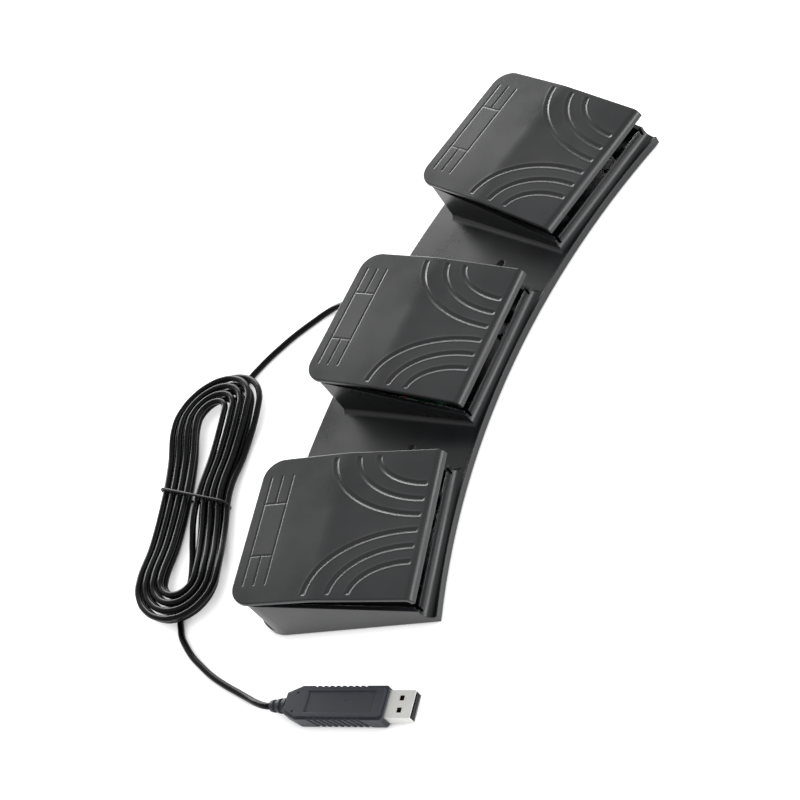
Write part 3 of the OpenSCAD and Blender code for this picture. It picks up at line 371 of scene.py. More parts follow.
@dataclass(frozen=True)
class SheetMetal:
    """Rolled or drawn metal.

    It gives the eye fine straight rolling lines and slow stains of plating, so that its gloss runs one way.
    """

    name: str
    colour: str
    stain: str
    roughness: float
    line_mm: float = 0.25
    stretch: float = 12.0  # rolling lines are this many times longer than wide
    line_detail: float = 2.0
    line_depth_mm: float = 0.004
    stain_mm: float = 6.0
    stain_detail: float = 4.0
    gloss_spread: float = 0.1
    metallic: float = 1.0

    def material(self) -> bpy.types.Material:
        """Builds the material.

        Returns:
            The metal's material.
        """
        material, tree = empty_material(self.name)
        place = add_node(tree, "TexCoord").outputs["Object"]
        drawn = add_node(tree, "Mapping", {"Scale": (1.0, self.stretch, 1.0)}, {"Vector": place})
        line = noise(tree, drawn.outputs["Vector"], self.line_mm * self.stretch, self.line_detail)
        stain = noise(tree, place, self.stain_mm, self.stain_detail)
        rough = remap(tree, line, self.roughness - self.gloss_spread, self.roughness + self.gloss_spread)
        surface(tree, {"Metallic": self.metallic}, blend(tree, self.colour, self.stain, stain),
                bumped(tree, line, self.line_depth_mm), rough)
        return material


@dataclass(frozen=True)
class SolderMask:
    """Green solder mask over a glass-fibre board: glossy, with darker and lighter copper under it."""

    name: str = "solder_mask"
    colour: str = "#0b2e1a"
    track: str = "#114023"
    roughness: float = 0.28
    index: float = 1.55
    track_mm: float = 1.3
    track_band: tuple[float, float] = (0.42, 0.5)
    track_depth_mm: float = 0.03

    def material(self) -> bpy.types.Material:
        """Builds the material.

        Returns:
            The board's material.
        """
        material, tree = empty_material(self.name)
        place = add_node(tree, "TexCoord").outputs["Object"]
        track = add_node(tree, "TexVoronoi", {"distance": "MANHATTAN", "Scale": per_metre(self.track_mm)},
                         {"Vector": place})
        step = remap(tree, track.outputs["Distance"], 0.0, 1.0, self.track_band)
        surface(tree, {"Roughness": self.roughness, "IOR": self.index},
                blend(tree, self.colour, self.track, step), bumped(tree, step, self.track_depth_mm))
        return material


class Finish(Enum):
    """Every finish of the foot switch, by the record's material slot that it dresses."""

    base_plastic = MouldedPlastic("moulded_abs_base", "#1e1f21", "#3a3b3e", 0.31,
                                  edge_mm=0.5, specular=0.44)
    pedal_plastic = MouldedPlastic("moulded_abs_pedal", "#1e1f21", "#3a3b3e", 0.31)
    plug_plastic = MouldedPlastic("overmoulded_pvc_plug", "#2c3038", "#4c515b", 0.5,
                                  edge_mm=0.5, specular=0.4)
    black_plastic = MouldedPlastic("moulded_nylon_black", "#131315", "#262629", 0.5, specular=0.3)
    red_plastic = MouldedPlastic("moulded_acetal_red", "#8c2a1f", "#b4493a", 0.4)
    cord_jacket = VinylJacket()
    black_rubber = CuredRubber()
    zinc_steel = SheetMetal("zinc_plated_steel", "#b9bcc0", "#9a9da3", 0.38)
    bright_steel = SheetMetal("nickel_plated_steel", "#ededea", "#dcdcd8", 0.32, metallic=0.6)
    spring_steel = SheetMetal("drawn_spring_wire", "#c4c6ca", "#a4a7ac", 0.3)
    contact_brass = SheetMetal("gold_flashed_brass", "#e0b860", "#c79a44", 0.25)
    green_board = SolderMask()
    red_wire = VinylJacket("extruded_vinyl_red", "#8e2620", "#a63a30", 0.4, specular=0.5)


class Wardrobe:
    """Makes each finish's material once and dresses pieces in it."""

    def __init__(self) -> None:
        """Starts with no material made."""
        self.made: dict[Finish, bpy.types.Material] = {}

    def material(self, finish: Finish) -> bpy.types.Material:
        """Makes the finish's material when it is first asked for.

        Args:
            finish: The finish.

        Returns:
            Its material.
        """
        if finish not in self.made:
            self.made[finish] = finish.value.material()
        return self.made[finish]

    def dress(self, piece: bpy.types.Object, finish: Finish) -> bpy.types.Object:
        """Gives a new piece its finish's material.

        Args:
            piece: The piece to dress.
            finish: Its finish.

        Returns:
            The same piece.
        """
        piece.data.materials.clear()
        piece.data.materials.append(self.material(finish))
        return piece

    def dress_nodes(self) -> None:
        """Gives every node of the frame the finish of its material slot."""
        for row in frame["record"]["subparts"]:
            node = frame["nodes"][row["node"]]
            finish = Finish[row["material_slot"]]
            node.data.materials.clear()
            node.data.materials.append(self.material(finish))
        log.info("dressed %d nodes of the frame", len(frame["nodes"]))


@dataclass
class Solid:
    """A mesh that grows by loops of points, in millimetres."""

    points: list[Vector] = field(default_factory=list)
    faces: list[tuple[int, ...]] = field(default_factory=list)

    def loop(self, points: list) -> list[int]:
        """Adds points.

        Args:
            points: The points.

        Returns:
            Their numbers.
        """
        start = len(self.points)
        self.points.extend(Vector(p) for p in points)
        return list(range(start, len(self.points)))

    def bridge(self, a: list[int], b: list[int], closed: bool = True) -> None:
        """Joins two loops of the same length by quads.

        Args:
            a: One loop's numbers.
            b: The other loop's numbers.
            closed: Whether the last point joins the first.
        """
        n = len(a)
        for i in range(n if closed else n - 1):
            j = (i + 1) % n
            self.faces.append((a[i], a[j], b[j], b[i]))

    def rings(self, loops: list[list]) -> None:
        """Adds closed loops one after another as a skin with flat ends.

        Args:
            loops: The loops, each with as many points.
        """
        numbers = [self.loop(points) for points in loops]
        for a, b in zip(numbers, numbers[1:]):
            self.bridge(a, b)
        self.faces.append(tuple(reversed(numbers[0])))
        self.faces.append(tuple(numbers[-1]))

    def lathe(self, centre: tuple[float, float], side: list[tuple[float, float]], count: int = 40) -> None:
        """Adds a turned shape about an upright axis.

        Args:
            centre: The axis in u and v.
            side: Radius and height of each ring, from one end to the other.
            count: Points round each ring.
        """
        turns = [2 * math.pi * i / count for i in range(count)]
        self.rings([[(centre[0] + r * math.cos(t), centre[1] + r * math.sin(t), z) for t in turns]
                    for r, z in side])

    def build(self, name: str, matrix: Matrix = Matrix.Identity(4), sharp_deg: float = 35.0,
              weld_mm: float = 1e-4) -> bpy.types.Object:
        """Makes the object.

        Args:
            name: The piece's name.
            matrix: Where the object stands.
            sharp_deg: Edges that turn more than this stay sharp in the shading.
            weld_mm: Points closer than this become one.

        Returns:
            The new object, in the scene.
        """
        mesh = bpy.data.meshes.new(name)
        mesh.from_pydata([p * MM for p in self.points], [], self.faces)
        grown = bmesh.new()
        grown.from_mesh(mesh)
        bmesh.ops.remove_doubles(grown, verts=grown.verts, dist=weld_mm * MM)
        bmesh.ops.recalc_face_normals(grown, faces=grown.faces)
        grown.to_mesh(mesh)
        grown.free()
        mesh.shade_smooth()
        mesh.set_sharp_from_angle(angle=math.radians(sharp_deg))
        return place_object(name, mesh, matrix)


def place_object(name: str, data: bpy.types.ID, matrix: Matrix = Matrix.Identity(4)) -> bpy.types.Object:
    """Puts data in the scene as an object.

    Args:
        name: The object's name.
        data: Its mesh, curve, light or camera.
        matrix: Where it stands.

    Returns:
        The new object.
    """
    made = bpy.data.objects.new(name, data)
    made.matrix_world = matrix
    bpy.context.scene.collection.objects.link(made)
    return made


@dataclass(frozen=True)
class SoftBox:
    """One rectangular lamp, with its place and sides in metres and its power in watts."""

    name: str
    at: tuple[float, float, float]
    size: tuple[float, float]
    watts: float

    def build(self, aim: Vector) -> None:
        """Hangs the lamp so that it faces a point.

        Args:
            aim: The point, in metres.
        """
        data = bpy.data.lights.new(self.name, "AREA")
        data.shape = "RECTANGLE"
        data.size, data.size_y = self.size
        data.energy = self.watts
        place = Vector(self.at)
        turn = (aim - place).to_track_quat("-Z", "Y").to_matrix().to_4x4()
        place_object(self.name, data, Matrix.Translation(place) @ turn)


@dataclass
class Studio:
    """Camera, lamps, pale floor and surroundings."""

    camera_at: Vector = Vector((-0.34273, -0.47123, 0.51887))  # metres
    right: Vector = Vector((0.406159, -0.775064, -0.484056))
    up: Vector = Vector((0.818220, 0.072599, 0.570303))
    forward: Vector = Vector((0.406879, 0.627698, -0.663660))
    lens: float = 77.475
    far: float = 20.0  # metres, the camera's reach
    boxes: tuple[SoftBox, ...] = (
        SoftBox("heel_soft_box", (0.4, -1.1, 0.43), (1.8, 0.5), 15.0),
        SoftBox("toe_soft_box", (0.8, 1.0, 0.36), (1.7, 0.6), 28.0),
    )
    aim: Vector = Vector((0.0, 0.0, 0.02))  # metres
    floor_half: float = 3.0  # metres
    floor_glow: float = 0.93
    contact: float = 0.007  # metres, reach of the painted contact shade that darkens the floor's glow close to the object
    shade_samples: int = 16
    floor_colour: str = "#f2f2f2"
    room_light: float = 0.5
    room_gloss: float = 0.6

    def camera(self) -> None:
        """Stands the camera where the photograph was taken from."""
        data = bpy.data.cameras.new("camera")
        data.lens = self.lens
        data.clip_end = self.far
        axes = Matrix((self.right, self.up, -self.forward)).transposed().to_4x4()
        made = place_object("camera", data, Matrix.Translation(self.camera_at) @ axes)
        bpy.context.scene.camera = made

    def floor(self) -> None:
        """Lays the floor, white to the camera and to a gloss but for the object's shadow; close to the
        object its glow is darkened by painted contact shade from ambient occlusion.
        """
        material, tree = empty_material("pale_floor")
        rays = add_node(tree, "LightPath")
        seen = add_node(tree, "Math", {"operation": "MAXIMUM"},
                        {0: rays.outputs["Is Camera Ray"], 1: rays.outputs["Is Glossy Ray"]})
        paint = add_node(tree, "BsdfDiffuse", {"Color": linear(self.floor_colour)})
        # painted contact shade: ambient occlusion darkens the floor's glow near and under the object, also
        # where the floor shows through the deck's hole
        painted_contact_shade = add_node(tree, "AmbientOcclusion",
                              {"samples": self.shade_samples, "Distance": self.contact})
        strength = add_node(tree, "Math", {"operation": "MULTIPLY", 1: self.floor_glow},
                            {0: painted_contact_shade.outputs["AO"]})
        glow = add_node(tree, "Emission", {"Color": linear(WHITE)}, {"Strength": strength.outputs[0]})
        lit = add_node(tree, "AddShader", links={0: paint.outputs[0], 1: glow.outputs[0]})
        mix = add_node(tree, "MixShader",
                       links={0: seen.outputs[0], 1: paint.outputs[0], 2: lit.outputs[0]})
        add_node(tree, "OutputMaterial", links={"Surface": mix.outputs[0]})
        h = self.floor_half
        mesh = bpy.data.meshes.new("floor")
        mesh.from_pydata([(-h, -h, 0), (h, -h, 0), (h, h, 0), (-h, h, 0)], [], [(0, 1, 2, 3)])
        mesh.materials.append(material)
        place_object("floor", mesh)

    def surroundings(self) -> None:
        """Fills the world with plain light, white where the camera or a gloss sees it."""
        world = bpy.data.worlds.new("surroundings")
        world.use_nodes = True
        world.node_tree.nodes.clear()
        tree = world.node_tree
        rays = add_node(tree, "LightPath")
        plain = add_node(tree, "Background", {"Color": linear(WHITE), "Strength": self.room_light})
        gloss = add_node(tree, "Background", {"Color": linear(WHITE), "Strength": self.room_gloss})
        white = add_node(tree, "Background", {"Color": linear(WHITE), "Strength": 1.0})
        seen = add_node(tree, "MixShader", links={0: rays.outputs["Is Glossy Ray"], 1: plain.outputs[0],
                                                  2: gloss.outputs[0]})
        clear = add_node(tree, "Math", {"operation": "MAXIMUM"},
                         {0: rays.outputs["Is Camera Ray"], 1: rays.outputs["Is Transmission Ray"]})
        mix = add_node(tree, "MixShader",
                       links={0: clear.outputs[0], 1: seen.outputs[0], 2: white.outputs[0]})
        add_node(tree, "OutputWorld", links={"Surface": mix.outputs[0]})
        bpy.context.scene.world = world

    def build(self) -> None:
        """Sets the stage and the plain view transform."""
        bpy.context.scene.view_settings.view_transform = "Standard"
        self.camera()
        for box in self.boxes:
            box.build(self.aim)
        self.floor()
        self.surroundings()
        log.info("studio stands")


def round_line(name: str, points: list[Vector], radius_mm: float, closed: bool) -> bpy.types.Object:
    """Draws a round line through points, a smooth one or a closed ring with straight steps.

    Args:
        name: The piece's name.
        points: The points that the line passes, in metres.
        radius_mm: The line's radius.
        closed: Whether it is a ring.

    Returns:
        The curve object.
    """
    curve = bpy.data.curves.new(name, "CURVE")
    curve.dimensions = "3D"
    curve.bevel_depth = radius_mm * MM
    curve.bevel_resolution = LINE_ROUNDS
    curve.use_fill_caps = True
    curve.resolution_u = LINE_STEPS
    spline = curve.splines.new("POLY" if closed else "BEZIER")
    if closed:
        spline.points.add(len(points) - 1)
        for knot, point in zip(spline.points, points):
            knot.co = (*point, 1.0)
    else:
        spline.bezier_points.add(len(points) - 1)
        for knot, point in zip(spline.bezier_points, points):
            knot.co = point
            knot.handle_left_type = knot.handle_right_type = "AUTO"
    spline.use_cyclic_u = closed
    return place_object(name, curve)


@dataclass
class Cord:
    """The cord from the grommet through the tied hank to the plug, as one smooth line."""

    diameter: float = 3.0
    exit: tuple[float, float, float] = (24.0, 57.99671665195594, 8.5)
    lead: tuple = (
        (24, 60.95, 8.4), (24.1, 66.95, 7.4), (24.3, 72.95, 5.6), (24.2, 78.95, 3.6), (23, 84.45, 2.1),
        (20.2, 88.75, 1.5), (15.4, 92.95, 1.5), (9.4, 97.95, 1.5), (3.4, 102.35, 1.5), (-2.4, 105.95, 1.5),
        (-8, 109.15, 1.5), (-14, 111.95, 1.5))
    tail: tuple = (
        (-158.4, 72.55, 1.5), (-161.8, 67.95, 1.5), (-165.8, 61.35, 1.5), (-169.2, 53.55, 1.5),
        (-172.4, 44.95, 1.5), (-174.8, 35.75, 1.5), (-176.6, 26.95, 1.6), (-178.2, 19.35, 2.2),
        (-179.6, 12.75, 3.4))
    plug_at: tuple[float, float] = (-168.0, -53.05)
    plug_turn_deg: float = 101.5
    plug_z: float = 4.2
    plug_ends: tuple[float, float] = (60.5, 57.5)
    hank_at: tuple[float, float] = (-91.7, 104.85)
    hank_turn_deg: float = 20.6
    loops: int = 8
    half_run: float = 45.8
    inner_r: float = 7.0
    pitch: float = 4.2
    layer: float = 3.5
    waist: float = 4.0
    bow_depth: float = 2.3
    taper: float = 0.025
    end_lift: float = 3.6
    waist_lift: float = 1.1
    run_steps: int = 4
    turn_steps: int = 8
    hank_in: tuple = (
        (69.7, -15.7, 1.5), (64.5, -12.3, 1.5), (59, -10.3, 1.5), (53, -9.6, 1.5), (45.8, -9.5, 1.5),
        (34.4, -7.8, 1.6), (22.9, -5.6, 1.9), (11.5, -3.8, 2.2))
    hank_out: tuple = (
        (-11.5, -1.7, 4.9), (-22.9, -2.4, 3.2), (-34.4, -3.9, 1.8), (-45.8, -5, 1.5), (-52, -4.2, 1.5),
        (-58, -3.6, 1.5), (-64, -3.7, 1.5), (-69.5, -5.2, 1.5))
    tie_r: float = 0.6
    tie_turn_deg: float = -22.8
    tie_half: float = 22.2
    tie_low: float = 0.62
    tie_high: float = 8.3
    tie_corner: float = 3.7
    tie_steps: int = 8
    plug_nodes: tuple[str, ...] = ("plug_boot", "plug_body", "plug_shell", "plug_insulator",
                                   "plug_contacts")

    def hump(self, a: float) -> float:
        """How far a place along the hank is into its waist, from 0 to 1."""
        return math.cos(math.pi / 2 * min(abs(a) / self.half_run, 1)) ** 2

    def bow(self, a: float) -> float:
        """How far the hank's middle line bends sideways at a."""
        return -self.bow_depth * (a / self.half_run) ** 2

    def wide(self, a: float) -> float:
        """The hank's width at a as a share of its middle width."""
        return 1 + self.taper * max(-1.0, min(1.0, a / self.half_run))

    def hank_point(self, i: int) -> tuple[float, float, float]:
        """Point i of the wound loops, along the hank, across it and up.

        Args:
            i: The point's number, counted from the start of the first loop.

        Returns:
            The point in the hank's own places, in millimetres.
        """
        half = self.run_steps + self.turn_steps
        t, j = i / (2 * half), i % half
        side = 1 if i % (2 * half) < half else -1
        r = self.inner_r + self.pitch * min(t, self.loops - t)
        if j < self.run_steps:
            a = side * self.half_run * (1 - 2 * j / self.run_steps)
            n = self.bow(a) - side * (r * self.wide(a) - self.waist * self.hump(a))
        else:
            turn = math.pi * (j - self.run_steps) / self.turn_steps
            r *= self.wide(-side * self.half_run)
            a = -side * (self.half_run + r * math.sin(turn))
            n = self.bow(a) - side * r * math.cos(turn)
        lift = self.end_lift * smooth(2 * abs(a) / self.half_run - 1) + self.waist_lift * self.hump(a)
        climb = self.layer * smooth((t - self.loops / 2) * 2 * half / self.run_steps)
        return a, n, self.diameter / 2 + lift + climb

    def route(self) -> list[Vector]:
        """The cord's whole middle line.

        Returns:
            Its points from the grommet to the plug's boot, in metres.
        """
        steps = 2 * (self.run_steps + self.turn_steps)
        first = self.run_steps // 2
        wound = [self.hank_point(i) for i in range(first, self.loops * steps + first + 1)]
        turn = math.radians(self.hank_turn_deg)
        hank = [
            (self.hank_at[0] + a * math.cos(turn) - n * math.sin(turn),
             self.hank_at[1] + a * math.sin(turn) + n * math.cos(turn), z)
            for a, n, z in (*self.hank_in, *wound, *self.hank_out)
        ]
        lean = math.radians(self.plug_turn_deg)
        ends = [(self.plug_at[0] + x * math.cos(lean), self.plug_at[1] + x * math.sin(lean), self.plug_z)
                for x in self.plug_ends]
        return [Vector(p) * MM for p in (self.exit, *self.lead, *hank, *self.tail, *ends)]

    def tie(self) -> bpy.types.Object:
        """Builds the thin tie round the hank's waist.

        Returns:
            The tie as a closed round wire.
        """
        turn = math.radians(self.hank_turn_deg + self.tie_turn_deg)
        mid = (self.tie_low + self.tie_high) / 2
        flat, rise = self.tie_half - self.tie_corner, mid - self.tie_low - self.tie_corner
        ring = []
        for i in range(4 * self.tie_steps):
            a = math.pi / 2 * (i + 0.5) / self.tie_steps
            y, z = math.cos(a), math.sin(a)
            ring.append((math.copysign(flat, y) + self.tie_corner * y,
                         mid + math.copysign(rise, z) + self.tie_corner * z))
        x, across = self.hank_at
        points = [Vector((x - y * math.sin(turn), across + y * math.cos(turn), z)) * MM for y, z in ring]
        return round_line("tie_wire", points, self.tie_r, True)

    def build(self, wardrobe: Wardrobe) -> None:
        """Builds the cord and its tie, and hides the frame's cord and tie nodes.

        Args:
            wardrobe: What dresses the pieces.
        """
        cord = round_line("cord_run", self.route(), self.diameter / 2, False)
        wardrobe.dress(cord, Finish.cord_jacket)
        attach(cord, "base")
        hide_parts("cord_lead", "cord_hank", "cord_tail")
        tie = self.tie()
        wardrobe.dress(tie, Finish.black_plastic)
        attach(tie, "base")
        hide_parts("cord_tie")


@dataclass
class Pedal:
    """One pedal: a thin plate with a rolled heel, curved grooves and fine toe lines."""

    fan: Fan = field(default_factory=Fan)
    half: float = 36.2
    toe: float = 446.9
    roll_v: float = 366.7
    roll_h: float = 17.383
    roll_r: float = 4.0
    bend_v: float = 406.9
    bend_h: float = 27.8
    bend_blend: float = 2.4
    main_deg: float = 9.0
    toe_deg: float = 3.2
    corner_r: float = 9.5
    round_r: float = 0.45
    round_steps: int = 4
    plate_t: float = 1.8
    mesh_step: float = 0.32
    least_gap: float = 0.14  # between an even row or column and one that a line needs
    corner_steps: int = 30
    probe: float = 0.01  # half the length over which the slope of the top is read
    fixed_u: float = 24.0
    arc_centre: tuple[float, float] = (35.0, 366.0)
    arcs: tuple = ((31.225, 45.0), (23.675, 34.0), (16.125, 25.0))
    arc_half: float = 1.15
    arc_depth: float = 0.48
    arc_wall: float = 0.85
    bead_at: float = 1.5
    bead_half: float = 0.5
    bead_h: float = 0.07
    arc_reach: float = 2.0  # no groove or bead goes farther from its middle line
    arc_end: float = 34.0
    arc_heel: tuple[float, float] = (366.2, 367.3)
    line_v: tuple[float, float, float] = (431.0, 436.5, 442.0)
    toe_margin: float = 1.0
    line_half: float = 27.5
    panel_half: float = 13.0
    line_w: float = 0.5
    line_floor: float = 0.08
    line_depth: float = 0.25
    hinge: tuple[float, float] = (432.0, 19.5)
    ear_out: float = 27.6
    ear_t: float = 3.6
    ear_r: float = 3.0
    ear_points: int = 48
    bore_r: float = 1.55
    nose: tuple[float, float] = (396.0, 21.78)
    nose_r: float = 1.2
    nose_half: float = 2.5
    nose_steps: int = 12
    spring_v: float = 382.0
    seat_r: float = 6.0
    seat_h: float = 19.0
    spigot_r: float = 3.2
    spigot_h: float = 16.5
    spigot_lead: float = 0.4

    def top(self, v: float) -> float:
        """Height of the plate's top, with its soft bend.

        Args:
            v: Place along the pedal.

        Returns:
            The height.
        """
        main, toe = math.tan(math.radians(self.main_deg)), math.tan(math.radians(self.toe_deg))
        d = v - self.bend_v
        if abs(d) < self.bend_blend:
            share = (d + self.bend_blend) / (2 * self.bend_blend)
            slope_fall = (main - toe) * self.bend_blend * share ** 2
            return self.bend_h + main * d - slope_fall
        return self.bend_h + d * (main if d < 0 else toe)

    def line_edges(self) -> tuple[float, ...]:
        """Where a fine line's walls start and end, from its middle."""
        return -self.line_w, -self.line_floor, self.line_floor, self.line_w

    def rows(self) -> list[tuple[float, float, float, float]]:
        """The plate's side profile from the heel lip to the toe edge.

        Returns:
            For each row v, height, and the normal's v and z.
        """
        start = math.radians(90 + self.main_deg)
        count = math.ceil((math.pi - start) * self.roll_r / self.mesh_step)
        found = []
        for i in range(count + 1):
            a = math.pi + (start - math.pi) * i / count
            found.append((self.roll_v + self.roll_r * math.cos(a), self.roll_h + self.roll_r * math.sin(a),
                          math.cos(a), math.sin(a)))
        first = found[-1][0]
        corner_v = self.toe - self.corner_r
        stations = [first + self.mesh_step * i for i in range(1, int((corner_v - first) / self.mesh_step))]
        lines = [v + edge for v in self.line_v for edge in self.line_edges()]
        reach = self.corner_r - self.round_r
        bends = [corner_v + reach * math.sin(math.pi / 2 * i / self.corner_steps)
                 for i in range(self.corner_steps + 1)]
        near = [v for v in stations + bends if all(abs(v - x) > self.least_gap for x in lines)]
        for v in sorted(near + lines):
            slope = (self.top(v + self.probe) - self.top(v - self.probe)) / (2 * self.probe)
            size = math.hypot(slope, 1)
            found.append((v, self.top(v), -slope / size, 1 / size))
        return found

    def row_half(self, v: float) -> tuple[float, float]:
        """Measures the plate's flat top across.

        Args:
            v: Place along the pedal.

        Returns:
            Half its width, and the outline's turn there, in radians.
        """
        corner_v = self.toe - self.corner_r
        if v <= corner_v:
            return self.half - self.round_r, 0.0
        turn = math.asin(min(1.0, (v - corner_v) / (self.corner_r - self.round_r)))
        return self.half - self.corner_r + (self.corner_r - self.round_r) * math.cos(turn), turn

    def columns(self, half: float) -> list[float]:
        """Places across a row: even ones in the middle, and ones that close in at the toe corners.

        Args:
            half: Half the row's width.

        Returns:
            The places from left to right.
        """
        bars = [self.panel_half + edge for edge in self.line_edges()]
        count = int(self.fixed_u / self.mesh_step)
        even = [self.fixed_u * i / count for i in range(1, count + 1)]
        inner = sorted([u for u in even if all(abs(u - b) > self.least_gap for b in bars)] + bars)
        n = int((self.half - self.fixed_u) / self.mesh_step)
        outer = [self.fixed_u + (half - self.fixed_u) * i / n for i in range(1, n + 1)]
        right = inner + outer
        return [-u for u in reversed(right)] + [0.0] + right

    def relief(self, u: float, v: float) -> float:
        """Height of the grooves and their beads over the plain surface.

        Args:
            u: Place across the pedal.
            v: Place along it.

        Returns:
            The height in millimetres, below zero in a groove.
        """
        side = abs(u)
        if v > self.line_v[0] - self.toe_margin:
            return self.toe_relief(side, v)
        x = self.arc_centre[0] - side
        y = v - self.arc_centre[1]
        if x <= 0 or y > self.arcs[0][1] + self.arc_reach:
            return 0.0
        height = 0.0
        low, high = self.arc_heel
        for a, b in self.arcs:
            if y <= 0:
                off = x - a
            else:
                ring = (x / a) ** 2 + (y / b) ** 2
                off = (ring - 1) / (2 * math.hypot(x / a ** 2, y / b ** 2))
            if abs(off) > self.arc_reach:
                continue
            fade = smooth(self.arc_end - side) * max(0.0, min(1.0, (v - low) / (high - low)))
            height -= fade * self.arc_depth * max(0.0, min(1.0, (self.arc_half - abs(off)) / self.arc_wall))
            bead = smooth(1 - abs(abs(off) - self.bead_at) / self.bead_half)
            height += fade * self.bead_h * bead
        return height

    def toe_relief(self, side: float, v: float) -> float:
        """Height of the fine straight grooves at the toe.

        Args:
            side: Distance from the pedal's middle line.
            v: Place along the pedal.

        Returns:
            The height, below zero in a groove.
        """
        low, mid, high = self.line_v
        wall = self.line_w - self.line_floor
        cuts = []
        for line in self.line_v:
            inside = self.line_half - side
            if line == mid:
                inside = min(inside, side - self.panel_half)
            cuts.append(min((self.line_w - abs(v - line)) / wall, inside / wall))
        bar = min((self.line_w - abs(side - self.panel_half)) / wall, (v - low) / wall, (high - v) / wall)
        return -self.line_depth * max(0.0, min(1.0, max(*cuts, bar)))

    def under_at(self, v: float) -> float:
        """Height of the plate's underside.

        Args:
            v: Place along the pedal.

        Returns:
            The height.
        """
        inner = self.roll_r - self.plate_t
        if v < self.roll_v - inner * math.sin(math.radians(self.main_deg)):
            return self.roll_h + math.sqrt(max(0.0, inner ** 2 - (v - self.roll_v) ** 2))
        slope = math.radians(self.main_deg if v < self.bend_v else self.toe_deg)
        return self.top(v) - self.plate_t / math.cos(slope)

    def rim_point(self, solid: Solid, number: int, side: float, row: tuple) -> list[int]:
        """Rolls the top over the plate's edge at one point, and goes down to the underside.

        Args:
            solid: The mesh that takes the points.
            number: The number of the top's last point.
            side: -1 at the left, 1 at the right and the toe.
            row: The outline's turn at the row, in radians, and the row's normal.

        Returns:
            The numbers of the points from the top to the underside.
        """
        turn, normal = row
        plain = Vector((side * math.cos(turn), math.sin(turn), 0))
        out = (plain - plain.dot(normal) * normal).normalized()
        top = solid.points[number]
        turns = [math.pi / 2 * i / self.round_steps for i in range(1, self.round_steps + 1)]
        swept = [top + self.round_r * (math.sin(b) * out + (math.cos(b) - 1) * normal) for b in turns]
        swept.append(top + self.round_r * out - self.plate_t * normal)
        return [number, *solid.loop(swept)]

    def skin(self, solid: Solid) -> None:
        """Adds the plate: grooved top, rounded edges and underside.

        Args:
            solid: The mesh that takes it.
        """
        grid, edges = [], []
        for v, z, nv, nz in self.rows():
            half, turn = self.row_half(v)
            points = []
            for u in self.columns(half):
                rise = self.relief(u, v)
                points.append((u, v + rise * nv, z + rise * nz))
            grid.append(solid.loop(points))
            edges.append((turn, Vector((0, nv, nz))))
        for a, b in zip(grid, grid[1:]):
            solid.bridge(a, b, closed=False)
        rim = [self.rim_point(solid, numbers[0], -1.0, row)
               for row, numbers in zip(edges[::-1], grid[::-1])]
        for number in grid[0][1:-1]:
            low = solid.loop([solid.points[number] - self.plate_t * edges[0][1]])
            rim.append([number] * (self.round_steps + 1) + low)
        rim += [self.rim_point(solid, numbers[-1], 1.0, row) for row, numbers in zip(edges, grid)]
        rim += [self.rim_point(solid, number, 1.0, edges[-1]) for number in grid[-1][-2:0:-1]]
        for this, other in zip(rim, rim[1:] + rim[:1]):
            for a, b, c, d in zip(this, this[1:], other[1:], other):
                if len({a, b, c, d}) > 2:
                    solid.faces.append(tuple(dict.fromkeys((a, b, c, d))))
        self.underside(solid, [swept[-1] for swept in rim], len(edges), len(grid[0]) - 2)

    def underside(self, solid: Solid, rim: list[int], rows: int, across: int) -> None:
        """Closes the plate from below by rungs from side to side.

        Args:
            solid: The mesh that takes the faces.
            rim: The numbers of the edge's lowest points, round the plate.
            rows: How many rows the plate has.
            across: How many points lie between the corners at heel and toe.
        """
        left = rim[:rows][::-1]
        heel = rim[rows:rows + across]
        right = rim[rows + across:2 * rows + across]
        toe = rim[2 * rows + across:][::-1]
        solid.faces.append((left[0], *heel, right[0], right[1], left[1]))
        for i in range(1, rows - 2):
            solid.faces.append((left[i], right[i], right[i + 1], left[i + 1]))
        solid.faces.append((left[-2], right[-2], right[-1], *reversed(toe), left[-1]))

    def ear(self, solid: Solid, side: int) -> None:
        """Adds one hinge ear with its bore, reaching up into the plate.

        Args:
            solid: The mesh that takes it.
            side: -1 for the left ear, 1 for the right one.
        """
        v, h = self.hinge
        top = self.under_at(v) + self.plate_t / 2 - h
        outer, bore = [], []
        for i in range(self.ear_points):
            t = 2 * math.pi * i / self.ear_points
            c, s = math.cos(t), math.sin(t)
            reach = self.ear_r if s <= 0 else min(self.ear_r / max(abs(c), TINY), top / max(s, TINY))
            outer.append((v + reach * c, h + reach * s))
            bore.append((v + self.bore_r * c, h + self.bore_r * s))
        us = (side * (self.ear_out - self.ear_t), side * self.ear_out)
        loops = [solid.loop([(u, y, z) for y, z in ring]) for u, ring in
                 ((us[0], bore), (us[0], outer), (us[1], outer), (us[1], bore))]
        for a, b in zip(loops, loops[1:] + loops[:1]):
            solid.bridge(a, b)

    def fittings(self, solid: Solid) -> None:
        """Adds the ears, the nose that works the switch and the seat of the spring.

        Args:
            solid: The mesh that takes them.
        """
        for side in (-1, 1):
            self.ear(solid, side)
        v, h = self.nose
        arc = [(v + self.nose_r * math.cos(t), h + self.nose_r * math.sin(t))
               for t in [math.pi + math.pi * i / self.nose_steps for i in range(self.nose_steps + 1)]]
        top = self.under_at(v) + self.plate_t / 2
        profile = arc + [(v + self.nose_r, top), (v - self.nose_r, top)]
        solid.rings([[(u, y, z) for y, z in profile] for u in (-self.nose_half, self.nose_half)])
        low = self.under_at(self.spring_v - self.seat_r) + self.plate_t / 2
        lead = self.spigot_lead
        solid.lathe((0, self.spring_v), [
            (self.spigot_r - lead, self.spigot_h), (self.spigot_r, self.spigot_h + lead),
            (self.spigot_r, self.seat_h), (self.seat_r, self.seat_h), (self.seat_r, low)])

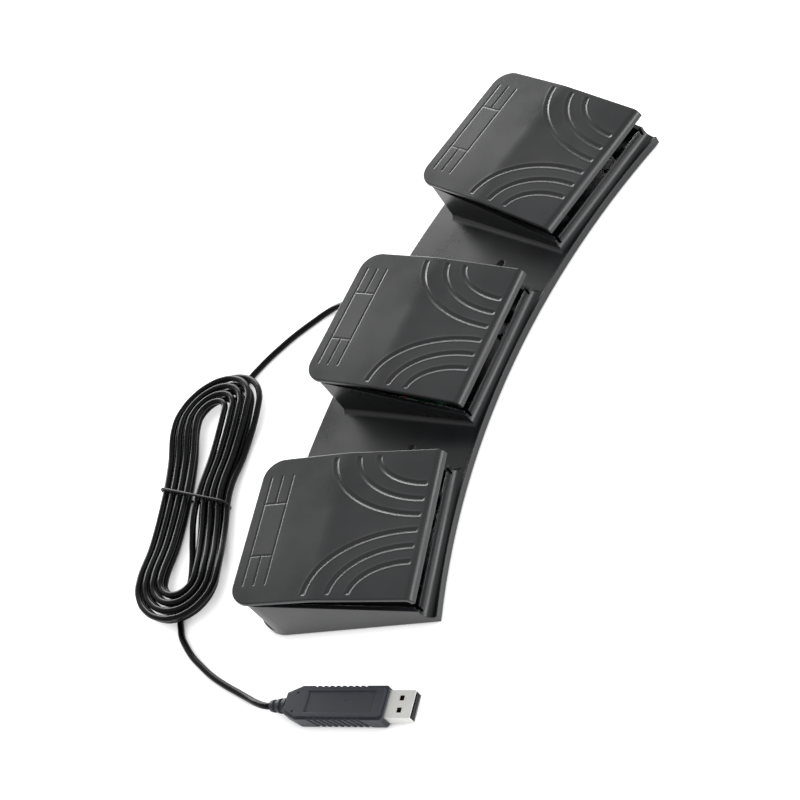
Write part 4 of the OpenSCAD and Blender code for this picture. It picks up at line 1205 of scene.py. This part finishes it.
    def build(self, wardrobe: Wardrobe) -> None:
        """Builds the three pedals from one mesh and hangs each on its body.

        Args:
            wardrobe: What dresses them.
        """
        solid = Solid()
        self.skin(solid)
        self.fittings(solid)
        first = solid.build("pedal_plate_left", self.fan.matrix(PedalSide.LEFT))
        for side in PedalSide:
            piece = first
            if side is not PedalSide.LEFT:
                piece = place_object(f"pedal_plate_{side.word}", first.data, self.fan.matrix(side))
            wardrobe.dress(piece, Finish.pedal_plastic)
            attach(piece, f"{side.word}_pedal")
            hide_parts(f"{side.word}_pedal")
        log.info("pedals hung, %d faces each", len(first.data.polygons))


@dataclass(frozen=True)
class ReturnSpring:
    """The coil spring under a pedal; the real one shortens as its pedal goes down, this one is wound at one
    fixed height.
    """

    fan: Fan = field(default_factory=Fan)
    centre_v: float = 382.0
    coil_r: float = 4.0
    wire_r: float = 0.45
    turns: float = 5.5
    foot: float = 4.0
    crown: float = 18.91
    steps: int = 24
    sides: int = 10
    keep: float = 0.79  # of the height, at the pedal's limit

    def wound(self) -> Solid:
        """Winds the wire.

        Returns:
            The wire as rings of points from foot to crown.
        """
        solid = Solid()
        count = round(self.turns * self.steps)
        low = self.foot + self.wire_r
        rise = self.crown - self.wire_r - low
        loops = []
        for i in range(count + 1):
            t = 2 * math.pi * i / self.steps
            out = Vector((math.cos(t), math.sin(t), 0))
            middle = Vector((0, self.centre_v, low + rise * i / count)) + self.coil_r * out
            bends = [2 * math.pi * j / self.sides for j in range(self.sides)]
            loops.append([middle + self.wire_r * (math.cos(b) * out + Vector((0, 0, math.sin(b))))
                          for b in bends])
        solid.rings(loops)
        return solid

    def build(self, wardrobe: Wardrobe) -> None:
        """Stands a spring under each pedal.

        Args:
            wardrobe: What dresses them.
        """
        for side in PedalSide:
            matrix = self.fan.matrix(side)
            piece = self.wound().build(f"return_spring_{side.word}", matrix)
            wardrobe.dress(piece, Finish.spring_steel)
            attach(piece, "base")
            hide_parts(f"{side.word}_spring")
            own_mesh(piece)
        log.info("springs stand")


def save_sizes() -> None:
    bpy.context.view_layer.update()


def main() -> None:
    """Builds and dresses the foot switch, piece by piece."""
    logging.basicConfig(level=logging.INFO, format="%(name)s: %(message)s")
    wardrobe = Wardrobe()
    studio = Studio()
    studio.build()
    Cord().build(wardrobe)
    wardrobe.dress_nodes()
    Pedal().build(wardrobe)
    ReturnSpring().build(wardrobe)
    save_sizes()


if __name__ == "__main__":
    main()
